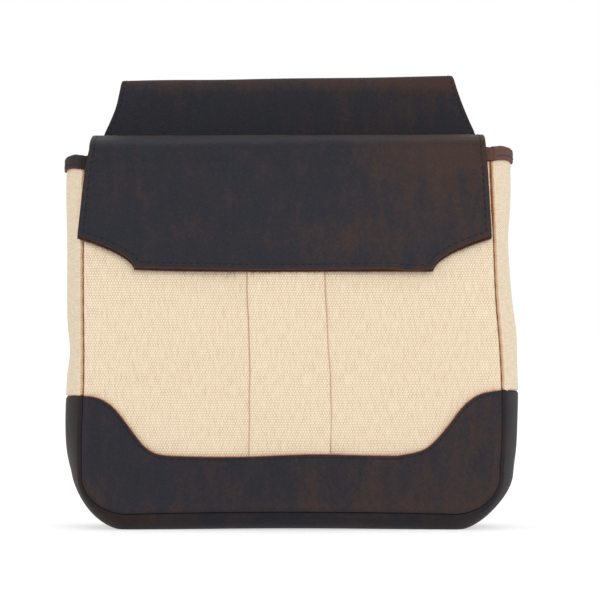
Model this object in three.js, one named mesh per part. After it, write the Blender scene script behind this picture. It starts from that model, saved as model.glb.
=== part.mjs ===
import * as THREE from "three";

// A hunting bag for a waist belt: a canvas pouch with a leather base, a leather
// flap over its mouth and a leather belt loop behind it, standing on its base.
// X runs to the right, Y to the back and Z up from the surface. Sizes are in
// millimetres, and the shares in the tables are of the sizes named beside them.

// The canvas pouch
const PANEL_WIDTH = 228; // front and back panels, from side seam to side seam
const PANEL_FOOT = 9; // height of the panels' bottom seam over the surface
const CORNER_WIDTH = 25; // the rounded lower corners of both panels
const CORNER_HEIGHT = 21;
const MOUTH_HEIGHT = 206; // edge of the canvas round the mouth
const MOUTH_RISE = 4.8; // how much higher that edge stands at the right
const POUCH_DEPTH = 62; // from the front seam to the back seam, at the base
const FRONT_BOW = 5; // how far the front panel swells between its seams
const SIDE_BULGE = 9; // how far the side gussets swell past the side seams
const GUSSET_DIP = 1.2; // how far a gusset's edge sags at the middle of its depth
const CANVAS = 1.2;

// The box pleat down the front
const PLEAT_WIDTH = 43;
const PLEAT_RISE = 2.2; // two plies of folded canvas
const PLEAT_OFFSET = -1.2; // from the middle of the front panel
const PLEAT_ROUND = 0.8; // how far its folded edges turn in
const PLEAT_TUCK = 6; // how far its foot runs under the leather

// The leather base
const LEATHER = 1.6;
const BASE_SHOULDER = 75; // height of the leather at the side seams
const BASE_HOLLOW = 41; // height of the leather's edge across the middle
const BASE_RISE = 3; // how much higher the right shoulder stands
const OGEE_REACH = 56; // from a side seam to the end of the ogee
const GUSSET_LAP = 6; // how far the canvas gusset runs down under the leather
const LAP_EASE = 10; // height in which the leather settles below that lap
const LAP_INSET = 0.05; // share of the depth by which the lap clears each seam
const BASE_BULGE = 8.2; // how far the base swells, were it not for the surface
const CORNER_PINCH = 0.25; // share by which it swells less round the corners

// The flap
const FLAP_WIDTH = 218; // across the roof
const FLAP_FLARE = 10; // how much wider it is at its lower corners
const FLAP_SKEW = -2.3; // how far its lower edge hangs to the side
const FLAP_HEM = 141.9; // height of its lower edge, in the middle
const HEM_SAG = 1.3; // how much higher that edge is where the cuts begin
const FLAP_RISE = 8; // its roof over the mouth's binding
const FLAP_TAB = 16; // how far it runs down behind the back panel
const FLAP_SETBACK = 3; // how far its sides lie behind its middle
const FLAP_STANDOFF = 0.8; // clear space over the pleat
const CUT_WIDTH = 33; // the concave cut at each lower corner
const CUT_RISE = 17.2;
const CUT_CURVE = 0.58; // power of the cut's curve
const LINING = 1;
const LINING_SHOW = 1.2; // how far the lining hangs below the flap

// The belt loop
const LOOP_HEIGHT = 250; // its fold, over the surface
const LOOP_TILT = 2.8; // how much higher the fold stands at the right
const LOOP_WIDTH = 185; // along the fold
const LOOP_FLARE = 15; // how much further the right side reaches at the seams
const LOOP_FLARE_DROP = 47; // length below the fold in which it flares
const LOOP_OFFSET = -3; // from the middle of the back panel
const LOOP_LAP = 13; // the front leaf's seam, down from the mouth's edge
const LOOP_FOOT = 122; // height of the back leaf's lower edge
const LOOP_SEAM = 9; // height of the seam that holds the back leaf
const BELT_ROOM = 9; // clear thickness of the tunnel for the belt

// The tape that binds the mouth
const TAPE = 0.9;
const TAPE_WIDTH = 6.6;

const GAP = 0.3; // between pieces that are sewn together

const SIDE_POWER = 2.2; // how squarely the side gussets swell
const BASE_POWER = 6; // how squarely the base swells

// Where the side seams stand: heights as shares of MOUTH_HEIGHT, seams as
// shares of half of PANEL_WIDTH
const SIDE_SEAMS = [
  { height: 0.17, left: 1.004, right: 0.99 },
  { height: 0.24, left: 1.004, right: 0.998 },
  { height: 0.38, left: 0.995, right: 0.998 },
  { height: 0.48, left: 0.994, right: 0.99 },
  { height: 0.61, left: 0.997, right: 0.972 },
  { height: 0.78, left: 0.998, right: 0.961 },
  { height: 1.0, left: 0.991, right: 0.946 },
];

// How the pouch fills out: depths as shares of POUCH_DEPTH, bows as shares of
// FRONT_BOW, bulges as shares of SIDE_BULGE
const FULLNESS = [
  { height: 0.0, depth: 1.0, bow: 0.0, left: 0.96, right: 0.96 },
  { height: 0.12, depth: 1.0, bow: 0.3, left: 0.9, right: 0.9 },
  { height: 0.3, depth: 0.995, bow: 0.85, left: 0.96, right: 0.94 },
  { height: 0.4, depth: 0.99, bow: 0.95, left: 0.97, right: 0.96 },
  { height: 0.47, depth: 0.985, bow: 1.0, left: 0.79, right: 0.96 },
  { height: 0.56, depth: 0.97, bow: 1.0, left: 0.92, right: 1.0 },
  { height: 0.76, depth: 0.91, bow: 0.85, left: 0.98, right: 0.9 },
  { height: 0.9, depth: 0.84, bow: 0.5, left: 1.1, right: 1.16 },
  { height: 1.0, depth: 0.8, bow: 0.35, left: 1.13, right: 1.28 },
];

// The ogee of the leather's upper edge: inward as a share of OGEE_REACH, edges
// as shares of the drop from BASE_SHOULDER to BASE_HOLLOW
const OGEE = [
  { inward: 0.0, left: 1.0, right: 1.0 },
  { inward: 0.1, left: 0.98, right: 0.98 },
  { inward: 0.2, left: 0.92, right: 0.945 },
  { inward: 0.3, left: 0.8, right: 0.86 },
  { inward: 0.4, left: 0.605, right: 0.715 },
  { inward: 0.5, left: 0.38, right: 0.505 },
  { inward: 0.6, left: 0.17, right: 0.31 },
  { inward: 0.7, left: 0.05, right: 0.15 },
  { inward: 0.8, left: 0.01, right: 0.065 },
  { inward: 1.0, left: 0.0, right: 0.0 },
];

// The flap's section over the mouth: back as a share of the way from its front
// to the back panel, rise as a share of FLAP_RISE over the mouth's binding, and
// tilt as a share of the mouth's own tilt from left to right
const FLAP_ROOF = [
  { back: 1.0, rise: 0.1, tilt: 1.0 },
  { back: 0.94, rise: 0.72, tilt: 0.5 },
  { back: 0.82, rise: 1.0, tilt: 0.15 },
  { back: 0.55, rise: 0.97, tilt: 0.15 },
  { back: 0.28, rise: 0.8, tilt: 0.3 },
  { back: 0.1, rise: 0.52, tilt: 0.5 },
  { back: 0.01, rise: 0.08, tilt: 0.7 },
];

// The belt loop's sides: drop as a share of LOOP_FLARE_DROP below the fold,
// sides as shares of LOOP_FLARE
const LOOP_SIDES = [
  { drop: 0.0, left: 0.0, right: 0.0 },
  { drop: 0.17, left: 0.11, right: 0.18 },
  { drop: 0.36, left: 0.25, right: 0.4 },
  { drop: 0.55, left: 0.48, right: 0.66 },
  { drop: 0.69, left: 0.67, right: 0.86 },
  { drop: 0.85, left: 0.79, right: 0.97 },
  { drop: 1.0, left: 0.84, right: 1.0 },
];

const { lerp, smoothstep } = THREE.MathUtils;
const sideName = (side) => (side < 0 ? "left" : "right");

// Even steps from 0 to 1, both ends included.
function steps(count) {
  return Array.from({ length: count + 1 }, (_, i) => i / count);
}

// A smooth curve through one column of a table, read by another column. Past
// the table's ends it keeps the end rows' values.
function curveOf(table, by, column) {
  const last = table.length - 1;
  const slopeAt = (i) => {
    const before = table[Math.max(i - 1, 0)];
    const after = table[Math.min(i + 1, last)];
    return (after[column] - before[column]) / (after[by] - before[by]);
  };
  return (wanted) => {
    const at = THREE.MathUtils.clamp(wanted, table[0][by], table[last][by]);
    let i = 0;
    while (i < last - 1 && at > table[i + 1][by]) i += 1;
    const span = table[i + 1][by] - table[i][by];
    const k = (at - table[i][by]) / span;
    const rise = k * k * (3 - 2 * k);
    const start = slopeAt(i) * span * k * (1 - k) * (1 - k);
    const end = slopeAt(i + 1) * span * k * k * (1 - k);
    return lerp(table[i][column], table[i + 1][column], rise) + start - end;
  };
}

// Both sides' curves through a table's left and right columns.
function sideCurves(table, by) {
  return { left: curveOf(table, by, "left"), right: curveOf(table, by, "right") };
}

const seamShare = sideCurves(SIDE_SEAMS, "height");
const bulgeShare = sideCurves(FULLNESS, "height");
const ogeeShare = sideCurves(OGEE, "inward");
const loopShare = sideCurves(LOOP_SIDES, "drop");
const depthShare = curveOf(FULLNESS, "height", "depth");
const bowShare = curveOf(FULLNESS, "height", "bow");

const BACK = POUCH_DEPTH / 2; // outer face of the back panel
const CORNER_TOP = PANEL_FOOT + CORNER_HEIGHT;

// Distance of a side seam from the bag's middle plane, above the corners.
function seamReach(side, z) {
  return (PANEL_WIDTH / 2) * seamShare[sideName(side)](z / MOUTH_HEIGHT);
}

// X of a panel's edge at a height, with the rounded lower corners.
function panelEdge(side, z) {
  const below = Math.max(0, (CORNER_TOP - z) / CORNER_HEIGHT);
  const chord = Math.sqrt(Math.max(0, 1 - below ** 2));
  return side * (seamReach(side, z) - CORNER_WIDTH * (1 - chord));
}

// X midway between the side seams.
function panelMiddle(z) {
  return (seamReach(1, z) - seamReach(-1, z)) / 2;
}

// Height of the mouth's edge over a place from left to right.
function mouthEdge(x) {
  return MOUTH_HEIGHT + (MOUTH_RISE * x) / PANEL_WIDTH;
}

// Y of the front seam, and of the front panel's outer face, which bows forward
// as a parabola between its seams.
function frontSeam(z) {
  return BACK - POUCH_DEPTH * depthShare(z / MOUTH_HEIGHT);
}

function frontFace(x, z) {
  const side = x < panelMiddle(z) ? -1 : 1;
  const half = seamReach(side, z) - side * panelMiddle(z);
  const across = (x - panelMiddle(z)) / half;
  const bow = FRONT_BOW * bowShare(z / MOUTH_HEIGHT) * (1 - across ** 2);
  return frontSeam(z) - Math.max(0, bow);
}

// A face turned to the other side.
const turned = ([a, b, c]) => [a, c, b];

// A mesh from its vertices and faces, turned to face outwards.
function solid(name, material, vertices, faces) {
  const volume = faces.reduce((sum, [a, b, c]) => {
    const cross = new THREE.Vector3().crossVectors(vertices[b], vertices[c]);
    return sum + vertices[a].dot(cross);
  }, 0);
  const facing = volume < 0 ? faces.map(turned) : faces;
  const geometry = new THREE.BufferGeometry().setFromPoints(vertices);
  geometry.setIndex(facing.flat());
  geometry.computeVertexNormals();
  const mesh = new THREE.Mesh(geometry, material);
  mesh.name = name;
  return mesh;
}

// Two triangles for each cell of a grid of vertex numbers.
function gridFaces(grid) {
  const faces = [];
  for (let i = 1; i < grid.length; i += 1) {
    for (let j = 1; j < grid[i].length; j += 1) {
      const [a, b, c, d] = [grid[i - 1][j - 1], grid[i - 1][j], grid[i][j], grid[i][j - 1]];
      faces.push([a, b, c], [a, c, d]);
    }
  }
  return faces;
}

// A wall between two faces, each a grid of points of the same size, closed
// round its four edges.
function wall(name, material, outer, inner) {
  const rows = outer.length;
  const columns = outer[0].length;
  const number = (face, i, j) => (face * rows + i) * columns + j;
  const grid = (face) =>
    outer.map((row, i) => row.map((_, j) => number(face, i, j)));
  const edge = [];
  for (let j = 0; j < columns; j += 1) edge.push([0, j]);
  for (let i = 1; i < rows; i += 1) edge.push([i, columns - 1]);
  for (let j = columns - 2; j >= 0; j -= 1) edge.push([rows - 1, j]);
  for (let i = rows - 2; i >= 0; i -= 1) edge.push([i, 0]);
  const hem = [1, 0].map((face) => edge.map(([i, j]) => number(face, i, j)));
  const back = grid(1).map((row) => row.slice().reverse());
  const faces = [...gridFaces(grid(0)), ...gridFaces(back), ...gridFaces(hem)];
  return solid(name, material, [...outer.flat(), ...inner.flat()], faces);
}

// Faces across a flat section, turning the way its points run.
function capFaces(section) {
  const [origin] = section;
  const first = section[1].clone().sub(origin).normalize();
  const last = section[section.length - 1].clone().sub(origin);
  const up = last.addScaledVector(first, -last.dot(first)).normalize();
  const outline = section.map((point) => {
    const from = point.clone().sub(origin);
    return new THREE.Vector2(from.dot(first), from.dot(up));
  });
  const faces = THREE.ShapeUtils.triangulateShape(outline, []);
  return THREE.ShapeUtils.isClockWise(outline) ? faces.map(turned) : faces;
}

// A solid through a row of closed sections, each a loop of as many points.
function loft(name, material, sections) {
  const size = sections[0].length;
  const loops = sections.map((section, i) =>
    [...section, section[0]].map((_, j) => i * size + (j % size)),
  );
  const near = capFaces(sections[0]);
  const far = near.map((face) => face.map((n) => n + (sections.length - 1) * size));
  const faces = [...gridFaces(loops), ...near.map(turned), ...far];
  return solid(name, material, sections.flat(), faces);
}

// A panel from its bottom seam to the mouth, with rows close together round its
// lower corners. The outer face gives Y at a place, and inward is the wall.
function panel(name, material, face, inward, sideSteps, columns) {
  const corner = steps(6).map((k) => {
    return CORNER_TOP - CORNER_HEIGHT * Math.cos((k * Math.PI) / 2);
  });
  const build = (offset) =>
    steps(columns).map((across) => {
      const top = mouthEdge(lerp(-PANEL_WIDTH, PANEL_WIDTH, across) / 2);
      const upper = steps(sideSteps).slice(1).map((k) => lerp(CORNER_TOP, top, k));
      return [...corner, ...upper].map((z) => {
        const x = lerp(panelEdge(-1, z), panelEdge(1, z), across);
        return new THREE.Vector3(x, face(x, z) + offset, z);
      });
    });
  return wall(name, material, build(0), build(inward));
}

function frontPanel(material) {
  return panel("front_panel", material, frontFace, CANVAS, 11, 16);
}

function backPanel(material) {
  return panel("back_panel", material, () => BACK, -CANVAS, 5, 8);
}

// The box pleat: a band of folded canvas on the front panel, its edges turned
// in, from the mouth to just under the leather base.
function pleatMiddle(z) {
  return panelMiddle(z) + PLEAT_OFFSET;
}

function frontPleat(material) {
  const foot = BASE_HOLLOW - PLEAT_TUCK;
  const top = MOUTH_HEIGHT - TAPE_WIDTH - TAPE - 2 * GAP;
  const half = PLEAT_WIDTH / 2;
  const outline = [
    { across: -half, out: 0 },
    { across: -half, out: PLEAT_RISE - PLEAT_ROUND },
    { across: -half + PLEAT_ROUND, out: PLEAT_RISE },
    { across: 0, out: PLEAT_RISE },
    { across: half - PLEAT_ROUND, out: PLEAT_RISE },
    { across: half, out: PLEAT_RISE - PLEAT_ROUND },
    { across: half, out: 0 },
    { across: 0, out: 0 },
  ];
  const sections = steps(12).map((k) => {
    const z = lerp(foot, top, k);
    return outline.map(({ across, out }) => {
      const x = pleatMiddle(z) + across;
      return new THREE.Vector3(x, frontFace(x, z) - GAP - out, z);
    });
  });
  return loft("front_pleat", material, sections);
}

// Upper edge of the leather base at the front: an ogee down from each shoulder.
function shoulder(side) {
  return BASE_SHOULDER + (side * BASE_RISE) / 2;
}

function baseEdge(x) {
  const side = x < 0 ? -1 : 1;
  const inward = seamReach(side, BASE_SHOULDER) - side * x;
  const share = ogeeShare[sideName(side)](inward / OGEE_REACH);
  return lerp(BASE_HOLLOW, shoulder(side), share);
}

// How far the leather is lifted where the pleat runs under it, easing away over
// a short way beside the pleat and below its foot.
function pleatLift(x, z) {
  const ease = PLEAT_TUCK;
  const half = PLEAT_WIDTH / 2;
  const beside = Math.abs(x - pleatMiddle(z));
  const across = 1 - smoothstep(beside, half, half + ease);
  const foot = BASE_HOLLOW - PLEAT_TUCK;
  const down = smoothstep(z, foot - 2 * ease, foot - GAP);
  return (PLEAT_RISE + GAP) * across * down;
}

// Height of the panels' lower edge, so far out from the middle plane.
function panelFoot(out, side) {
  const reach = seamReach(side, CORNER_TOP) - CORNER_WIDTH;
  const past = THREE.MathUtils.clamp((out - reach) / CORNER_WIDTH, 0, 1);
  return CORNER_TOP - CORNER_HEIGHT * Math.sqrt(1 - past ** 2);
}

// Places across the front base, as shares of the way from the middle plane to a
// seam: close at the rounded corners, and one at each end of the pleat's lift.
function baseColumns() {
  const reach = seamReach(1, BASE_HOLLOW);
  const rounded = CORNER_WIDTH / reach;
  const [near, far] = [PLEAT_WIDTH / 2, PLEAT_WIDTH / 2 + PLEAT_TUCK];
  const lifts = [-far, -near, near, far].map((d) => (pleatMiddle(BASE_HOLLOW) + d) / reach);
  const corner = (side) =>
    steps(6).map((k) => side * (1 - rounded * (1 - Math.sin((k * Math.PI) / 2))));
  return [
    ...corner(-1).reverse(),
    ...steps(10).slice(1).map((k) => lerp(rounded - 1, lifts[0], k)),
    ...steps(4).map((k) => lerp(lifts[1], lifts[2], k)),
    ...steps(10).slice(0, -1).map((k) => lerp(lifts[3], 1 - rounded, k)),
    ...corner(1),
  ];
}

// The leather over the foot of the front panel, between the seams.
function frontBase(material) {
  const build = (out) =>
    baseColumns().map((share) => {
      const side = share < 0 ? -1 : 1;
      const low = panelFoot(Math.abs(share) * seamReach(side, CORNER_TOP), side);
      return steps(5).map((k) => {
        const z = lerp(low, baseEdge(share * seamReach(side, BASE_SHOULDER)), k);
        const x = share * seamReach(side, z);
        return new THREE.Vector3(x, frontFace(x, z) - GAP - pleatLift(x, z) - out, z);
      });
    });
  return wall("front_base", material, build(LEATHER), build(0));
}

// How far a gusset swells at a share of the way from the front seam to the
// back seam.
function swell(share, power) {
  return 1 - Math.abs(2 * share - 1) ** power;
}

// Y of a gusset at a share of the way from the front seam to the back seam.
function gussetY(z, share) {
  return lerp(frontSeam(z), BACK, share);
}

// A side gusset's canvas wall at a height: the outward places of its two faces.
function canvasFaces(side, z, share) {
  const bulge = SIDE_BULGE * bulgeShare[sideName(side)](z / MOUTH_HEIGHT);
  const inner = GAP + bulge * swell(share, SIDE_POWER);
  return { inner, outer: inner + CANVAS };
}

// The edge of a gusset at the mouth, sagging towards the middle of its depth.
function gussetTop(side, share) {
  return mouthEdge((side * PANEL_WIDTH) / 2) - GUSSET_DIP * Math.sin(share * Math.PI);
}

// A side gusset's canvas. Its lower end narrows to a lap that runs down inside
// the leather, clear of both seams.
function sideGusset(side, material) {
  const edge = shoulder(side) + GAP;
  const lap = [edge - GAP - GUSSET_LAP, edge - GAP / 2].map((z) => ({ z, inset: LAP_INSET }));
  const open = (share) =>
    steps(11).map((k) => ({ z: lerp(edge, gussetTop(side, share), k), inset: 0 }));
  const build = (face) =>
    [...lap, ...open(0)].map((_, i) =>
      steps(8).map((k) => {
        const { z, inset } = [...lap, ...open(k)][i];
        const share = lerp(inset, 1 - inset, k);
        const out = canvasFaces(side, z, share)[face];
        return new THREE.Vector3(side * (seamReach(side, z) + out), gussetY(z, share), z);
      }),
    );
  return wall(`gusset_${sideName(side)}`, material, build("outer"), build("inner"));
}

// Stations of the leather base round the pouch, from the left shoulder down,
// along the bottom and up to the right shoulder: a point of the seam, its
// outward direction and how far the station is round towards the bottom.
function baseStations() {
  const stations = [];
  const rise = (side, k) => {
    const z = lerp(CORNER_TOP, shoulder(side), k);
    stations.push({ x: side * seamReach(side, z), z, out: [side, 0], turn: 0, side });
  };
  const corner = (side, k) => {
    const angle = (k * Math.PI) / 2;
    const middle = seamReach(side, CORNER_TOP) - CORNER_WIDTH;
    const [across, down] = [Math.cos(angle), Math.sin(angle)];
    const length = Math.hypot(across / CORNER_WIDTH, down / CORNER_HEIGHT);
    stations.push({
      x: side * (middle + CORNER_WIDTH * across),
      z: CORNER_TOP - CORNER_HEIGHT * down,
      out: [(side * across) / CORNER_WIDTH / length, -down / CORNER_HEIGHT / length],
      turn: k,
      side,
    });
  };
  const ends = [-1, 1].map((side) => side * (seamReach(side, CORNER_TOP) - CORNER_WIDTH));
  steps(5).reverse().forEach((k) => rise(-1, k));
  steps(8).slice(1).forEach((k) => corner(-1, k));
  steps(8).slice(1, -1).forEach((k) => {
    stations.push({ x: lerp(ends[0], ends[1], k), z: PANEL_FOOT, out: [0, -1], turn: 1, side: 1 });
  });
  steps(8).reverse().slice(0, -1).forEach((k) => corner(1, k));
  steps(5).forEach((k) => rise(1, k));
  return stations;
}

// The leather round the sides and bottom, lifted over the canvas gussets'
// lower ends and pressed flat where it stands on the surface.
function baseGusset(material) {
  const place = (station, share, thickness) => {
    const { x, z, out, turn, side } = station;
    const lapTop = shoulder(side) - GUSSET_LAP;
    const fromSeam = Math.min(1, Math.min(share, 1 - share) / LAP_INSET);
    const lift = (CANVAS + GAP) * fromSeam * smoothstep(z, lapTop - LAP_EASE, lapTop - GAP);
    const bulge = bulgeShare[sideName(side)](z / MOUTH_HEIGHT) * SIDE_BULGE;
    const sideSwell = bulge * swell(share, SIDE_POWER);
    const baseSwell = BASE_BULGE * swell(share, BASE_POWER);
    const pinch = 1 - CORNER_PINCH * Math.sin(turn * Math.PI) ** 2;
    const swelling = pinch * lerp(sideSwell, baseSwell, smoothstep(turn, 0, 1));
    const reach = GAP + lift + swelling + thickness;
    const dip = GUSSET_DIP * Math.sin(share * Math.PI) * smoothstep(z, lapTop, shoulder(side));
    const height = Math.max(LEATHER - thickness, z - dip + out[1] * reach);
    return new THREE.Vector3(x + out[0] * reach, gussetY(z, share), height);
  };
  const shares = [0, LAP_INSET, ...steps(12).slice(1, -1), 1 - LAP_INSET, 1];
  const build = (thickness) =>
    baseStations().map((station) => shares.map((share) => place(station, share, thickness)));
  return wall("base_gusset", material, build(LEATHER), build(0));
}

// A channel of folded tape over an edge. Each point of the edge has its height
// and gives a place so far out from the wall's outer face, at a height.
function binding(name, material, edge) {
  const inner = -CANVAS - GAP;
  const sections = edge.map(({ top, at }) => [
    at(GAP + TAPE, top - TAPE_WIDTH),
    at(GAP + TAPE, top + GAP + TAPE / 2),
    at(GAP + TAPE / 2, top + GAP + TAPE),
    at(inner - TAPE / 2, top + GAP + TAPE),
    at(inner - TAPE, top + GAP + TAPE / 2),
    at(inner - TAPE, top - TAPE_WIDTH),
    at(inner, top - TAPE_WIDTH),
    at(inner, top + GAP),
    at(GAP, top + GAP),
    at(GAP, top - TAPE_WIDTH),
  ]);
  return loft(name, material, sections);
}

// The tape on a gusset meets the tape on the front in a mitre at the seam, and
// at the back it stops against the back panel.
function gussetBinding(side, material) {
  const edge = steps(8).map((share) => {
    const at = (out, z) => {
      const back = BACK + Math.min(0, out);
      const x = seamReach(side, z) + canvasFaces(side, z, share).outer + out;
      return new THREE.Vector3(side * x, lerp(frontSeam(z) - out + GAP, back, share), z);
    };
    return { top: gussetTop(side, share), at };
  });
  return binding(`binding_${sideName(side)}`, material, edge);
}

function frontBinding(material) {
  const edge = steps(12).map((share) => {
    const at = (out, z) => {
      const [left, right] = [-1, 1].map((side) => side * (seamReach(side, z) + CANVAS + out));
      const x = lerp(left, right, share);
      return new THREE.Vector3(x, frontFace(x, z) - out, z);
    };
    return { top: mouthEdge(lerp(-PANEL_WIDTH, PANEL_WIDTH, share) / 2), at };
  });
  return binding("binding_front", material, edge);
}

// Y of the flap's inner face where it hangs in front of the pleat.
function flapFront(z) {
  const pleat = frontFace(pleatMiddle(z), z) - GAP - PLEAT_RISE;
  return pleat - FLAP_STANDOFF - LINING - GAP;
}

// The flap's section at one side, as the line of its inner face: up behind the
// back panel, forward over the mouth and down in front of the pleat.
function flapSection(side) {
  const line = [];
  const add = (y, z) => line.push(new THREE.Vector3(0, y, z));
  const tilt = (side * MOUTH_RISE) / 2;
  const behind = BACK + GAP;
  const bendTop = MOUTH_HEIGHT - TAPE_WIDTH;
  steps(3).forEach((k) => add(behind, MOUTH_HEIGHT + tilt - lerp(FLAP_TAB, TAPE, k)));
  FLAP_ROOF.forEach((row) => {
    const z = MOUTH_HEIGHT + TAPE + GAP + FLAP_RISE * row.rise + tilt * row.tilt;
    add(lerp(flapFront(bendTop), behind, row.back), z);
  });
  steps(6).forEach((k) => {
    const z = lerp(bendTop, FLAP_HEM - LINING_SHOW, k);
    add(flapFront(z), z);
  });
  return new THREE.CatmullRomCurve3(line, false, "centripetal");
}

const FLAP_LINES = [flapSection(-1), flapSection(1)];

// How far down the flap's front a height is: 0 at the mouth's edge, 1 at the hem.
function flapHang(z) {
  return THREE.MathUtils.clamp((MOUTH_HEIGHT - z) / (MOUTH_HEIGHT - FLAP_HEM), 0, 1);
}

// A point of the flap: across from -1 at the left to 1 at the right, along its
// section as a share, and out from the inner face.
function flapPoint(across, along, out) {
  const [left, right] = FLAP_LINES.map((line) => line.getPointAt(along));
  const [a, b] = FLAP_LINES.map((line) => line.getTangentAt(along));
  const tangent = a.lerp(b, (across + 1) / 2).normalize();
  const point = left.lerp(right, (across + 1) / 2);
  const hang = point.y < 0 ? flapHang(point.z) : 0;
  const half = (FLAP_WIDTH + FLAP_FLARE * hang) / 2;
  const setback = FLAP_SETBACK * across ** 2 * smoothstep(hang, 0, 0.6);
  return new THREE.Vector3(
    panelMiddle(MOUTH_HEIGHT) + FLAP_SKEW * hang + across * half,
    point.y + setback + tangent.z * out,
    point.z - tangent.y * out,
  );
}

// Share of the flap's section down to a height on its front.
function flapAlong(across, z) {
  let [above, below] = [0.5, 1];
  for (let i = 0; i < 24; i += 1) {
    const middle = (above + below) / 2;
    if (flapPoint(across, middle, 0).z > z) above = middle;
    else below = middle;
  }
  return below;
}

// Height of the flap's lower edge at a share from its middle to a side: along
// the sagging hem, then up the concave cut to the corner.
function flapHem(across, show) {
  const half = (FLAP_WIDTH + FLAP_FLARE) / 2;
  const beyond = Math.abs(across) * half - (half - CUT_WIDTH);
  const sag = Math.min(1, Math.abs(across) / (1 - CUT_WIDTH / half)) ** 2;
  const climb = Math.max(0, beyond / CUT_WIDTH) ** CUT_CURVE;
  return FLAP_HEM + HEM_SAG * sag + CUT_RISE * climb - show;
}

// The flap's columns, with one at each end of the two cuts.
function flapColumns(cutSteps, middleSteps) {
  const half = (FLAP_WIDTH + FLAP_FLARE) / 2;
  const inner = 1 - CUT_WIDTH / half;
  return [
    ...steps(cutSteps).map((k) => lerp(-1, -inner, k)),
    ...steps(middleSteps).slice(1, -1).map((k) => lerp(-inner, inner, k)),
    ...steps(cutSteps).map((k) => lerp(inner, 1, k)),
  ];
}

// A sheet of the flap from a share of its section down to the hem. Its upper
// rows, down to the front bend, are level from side to side.
function flapSheet(name, material, from, rows, near, far, show) {
  const bend = flapAlong(0, MOUTH_HEIGHT - TAPE_WIDTH);
  const build = (out) =>
    flapColumns(7, 8).map((across) => {
      const to = flapAlong(across, flapHem(across, show));
      const upper = steps(rows.upper).map((k) => lerp(from, bend, k));
      const lower = steps(rows.lower).slice(1).map((k) => lerp(bend, to, k));
      const places = from < bend ? [...upper, ...lower] : [bend, ...lower];
      return places.map((along) => flapPoint(across, along, out));
    });
  return wall(name, material, build(far), build(near));
}

function flap(material) {
  return flapSheet("flap", material, 0, { upper: 24, lower: 6 }, 0, LEATHER, 0);
}

// The lining under the flap, which shows as a second edge below the first.
function flapLining(material) {
  const rows = { upper: 0, lower: 6 };
  return flapSheet("flap_lining", material, 1, rows, -GAP - LINING, -GAP, LINING_SHOW);
}

// The belt loop's section, as the line of its inner face: up from its seam on
// the back panel, over the fold, down behind the belt and in to its lower seam.
function loopSection() {
  const near = BACK + GAP + LEATHER + GAP;
  const far = near + LEATHER + BELT_ROOM;
  const radius = (far - near - LEATHER) / 2;
  const foldMiddle = LOOP_HEIGHT - LEATHER - radius;
  const line = [];
  const add = (y, z) => line.push(new THREE.Vector3(0, y, z));
  const frontFoot = MOUTH_HEIGHT - LOOP_LAP;
  steps(4).forEach((k) => add(near + LEATHER, lerp(frontFoot, foldMiddle - radius, k)));
  steps(6).forEach((k) => {
    const angle = Math.PI * (1 - k);
    add(near + LEATHER + radius * (1 + Math.cos(angle)), foldMiddle + radius * Math.sin(angle));
  });
  const seamTop = LOOP_FOOT + LOOP_SEAM;
  const bend = 2.2 * (far - BACK);
  steps(5).slice(1).forEach((k) => add(far, lerp(foldMiddle - radius, seamTop + bend, k)));
  steps(5).slice(1).forEach((k) => {
    add(lerp(far, BACK + GAP, smoothstep(k, 0, 1)), lerp(seamTop + bend, seamTop, k));
  });
  steps(2).slice(1).forEach((k) => add(BACK + GAP, lerp(seamTop, LOOP_FOOT, k)));
  return new THREE.CatmullRomCurve3(line, false, "centripetal");
}

function beltLoop(material) {
  const line = loopSection();
  const rows = 40;
  const points = steps(rows).map((k) => line.getPointAt(k));
  const tangents = steps(rows).map((k) => line.getTangentAt(k));
  const fold = points.reduce((best, point, i) => (point.z > points[best].z ? i : best), 0);
  const build = (out) =>
    points.map((point, i) => {
      const drop = (Math.abs(i - fold) * line.getLength()) / rows / LOOP_FLARE_DROP;
      const [left, right] = [-1, 1].map((side) => {
        const flare = LOOP_FLARE * loopShare[sideName(side)](drop);
        return LOOP_OFFSET + side * (LOOP_WIDTH / 2 + flare);
      });
      const height = smoothstep(point.z, MOUTH_HEIGHT, LOOP_HEIGHT);
      return steps(8).map((k) => {
        const tilt = LOOP_TILT * (k - 0.5) * height;
        return new THREE.Vector3(
          lerp(left, right, k),
          point.y + tangents[i].z * -out,
          point.z + tilt + tangents[i].y * out,
        );
      });
    });
  return wall("belt_loop", material, build(LEATHER), build(0));
}

const canvas = new THREE.MeshStandardMaterial({ color: 0xeadabd, roughness: 0.95, metalness: 0 });
const leather = new THREE.MeshStandardMaterial({ color: 0x3a3435, roughness: 0.6, metalness: 0 });
const suede = new THREE.MeshStandardMaterial({ color: 0x4a2f22, roughness: 0.9, metalness: 0 });
const tape = new THREE.MeshStandardMaterial({ color: 0x5a3f38, roughness: 0.7, metalness: 0 });

const bag = new THREE.Group();
bag.add(
  frontPanel(canvas),
  frontPleat(canvas),
  backPanel(canvas),
  sideGusset(-1, canvas),
  sideGusset(1, canvas),
  frontBase(leather),
  baseGusset(leather),
  gussetBinding(-1, tape),
  gussetBinding(1, tape),
  frontBinding(tape),
  flap(leather),
  flapLining(suede),
  beltLoop(leather),
);

export default bag;
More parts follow.
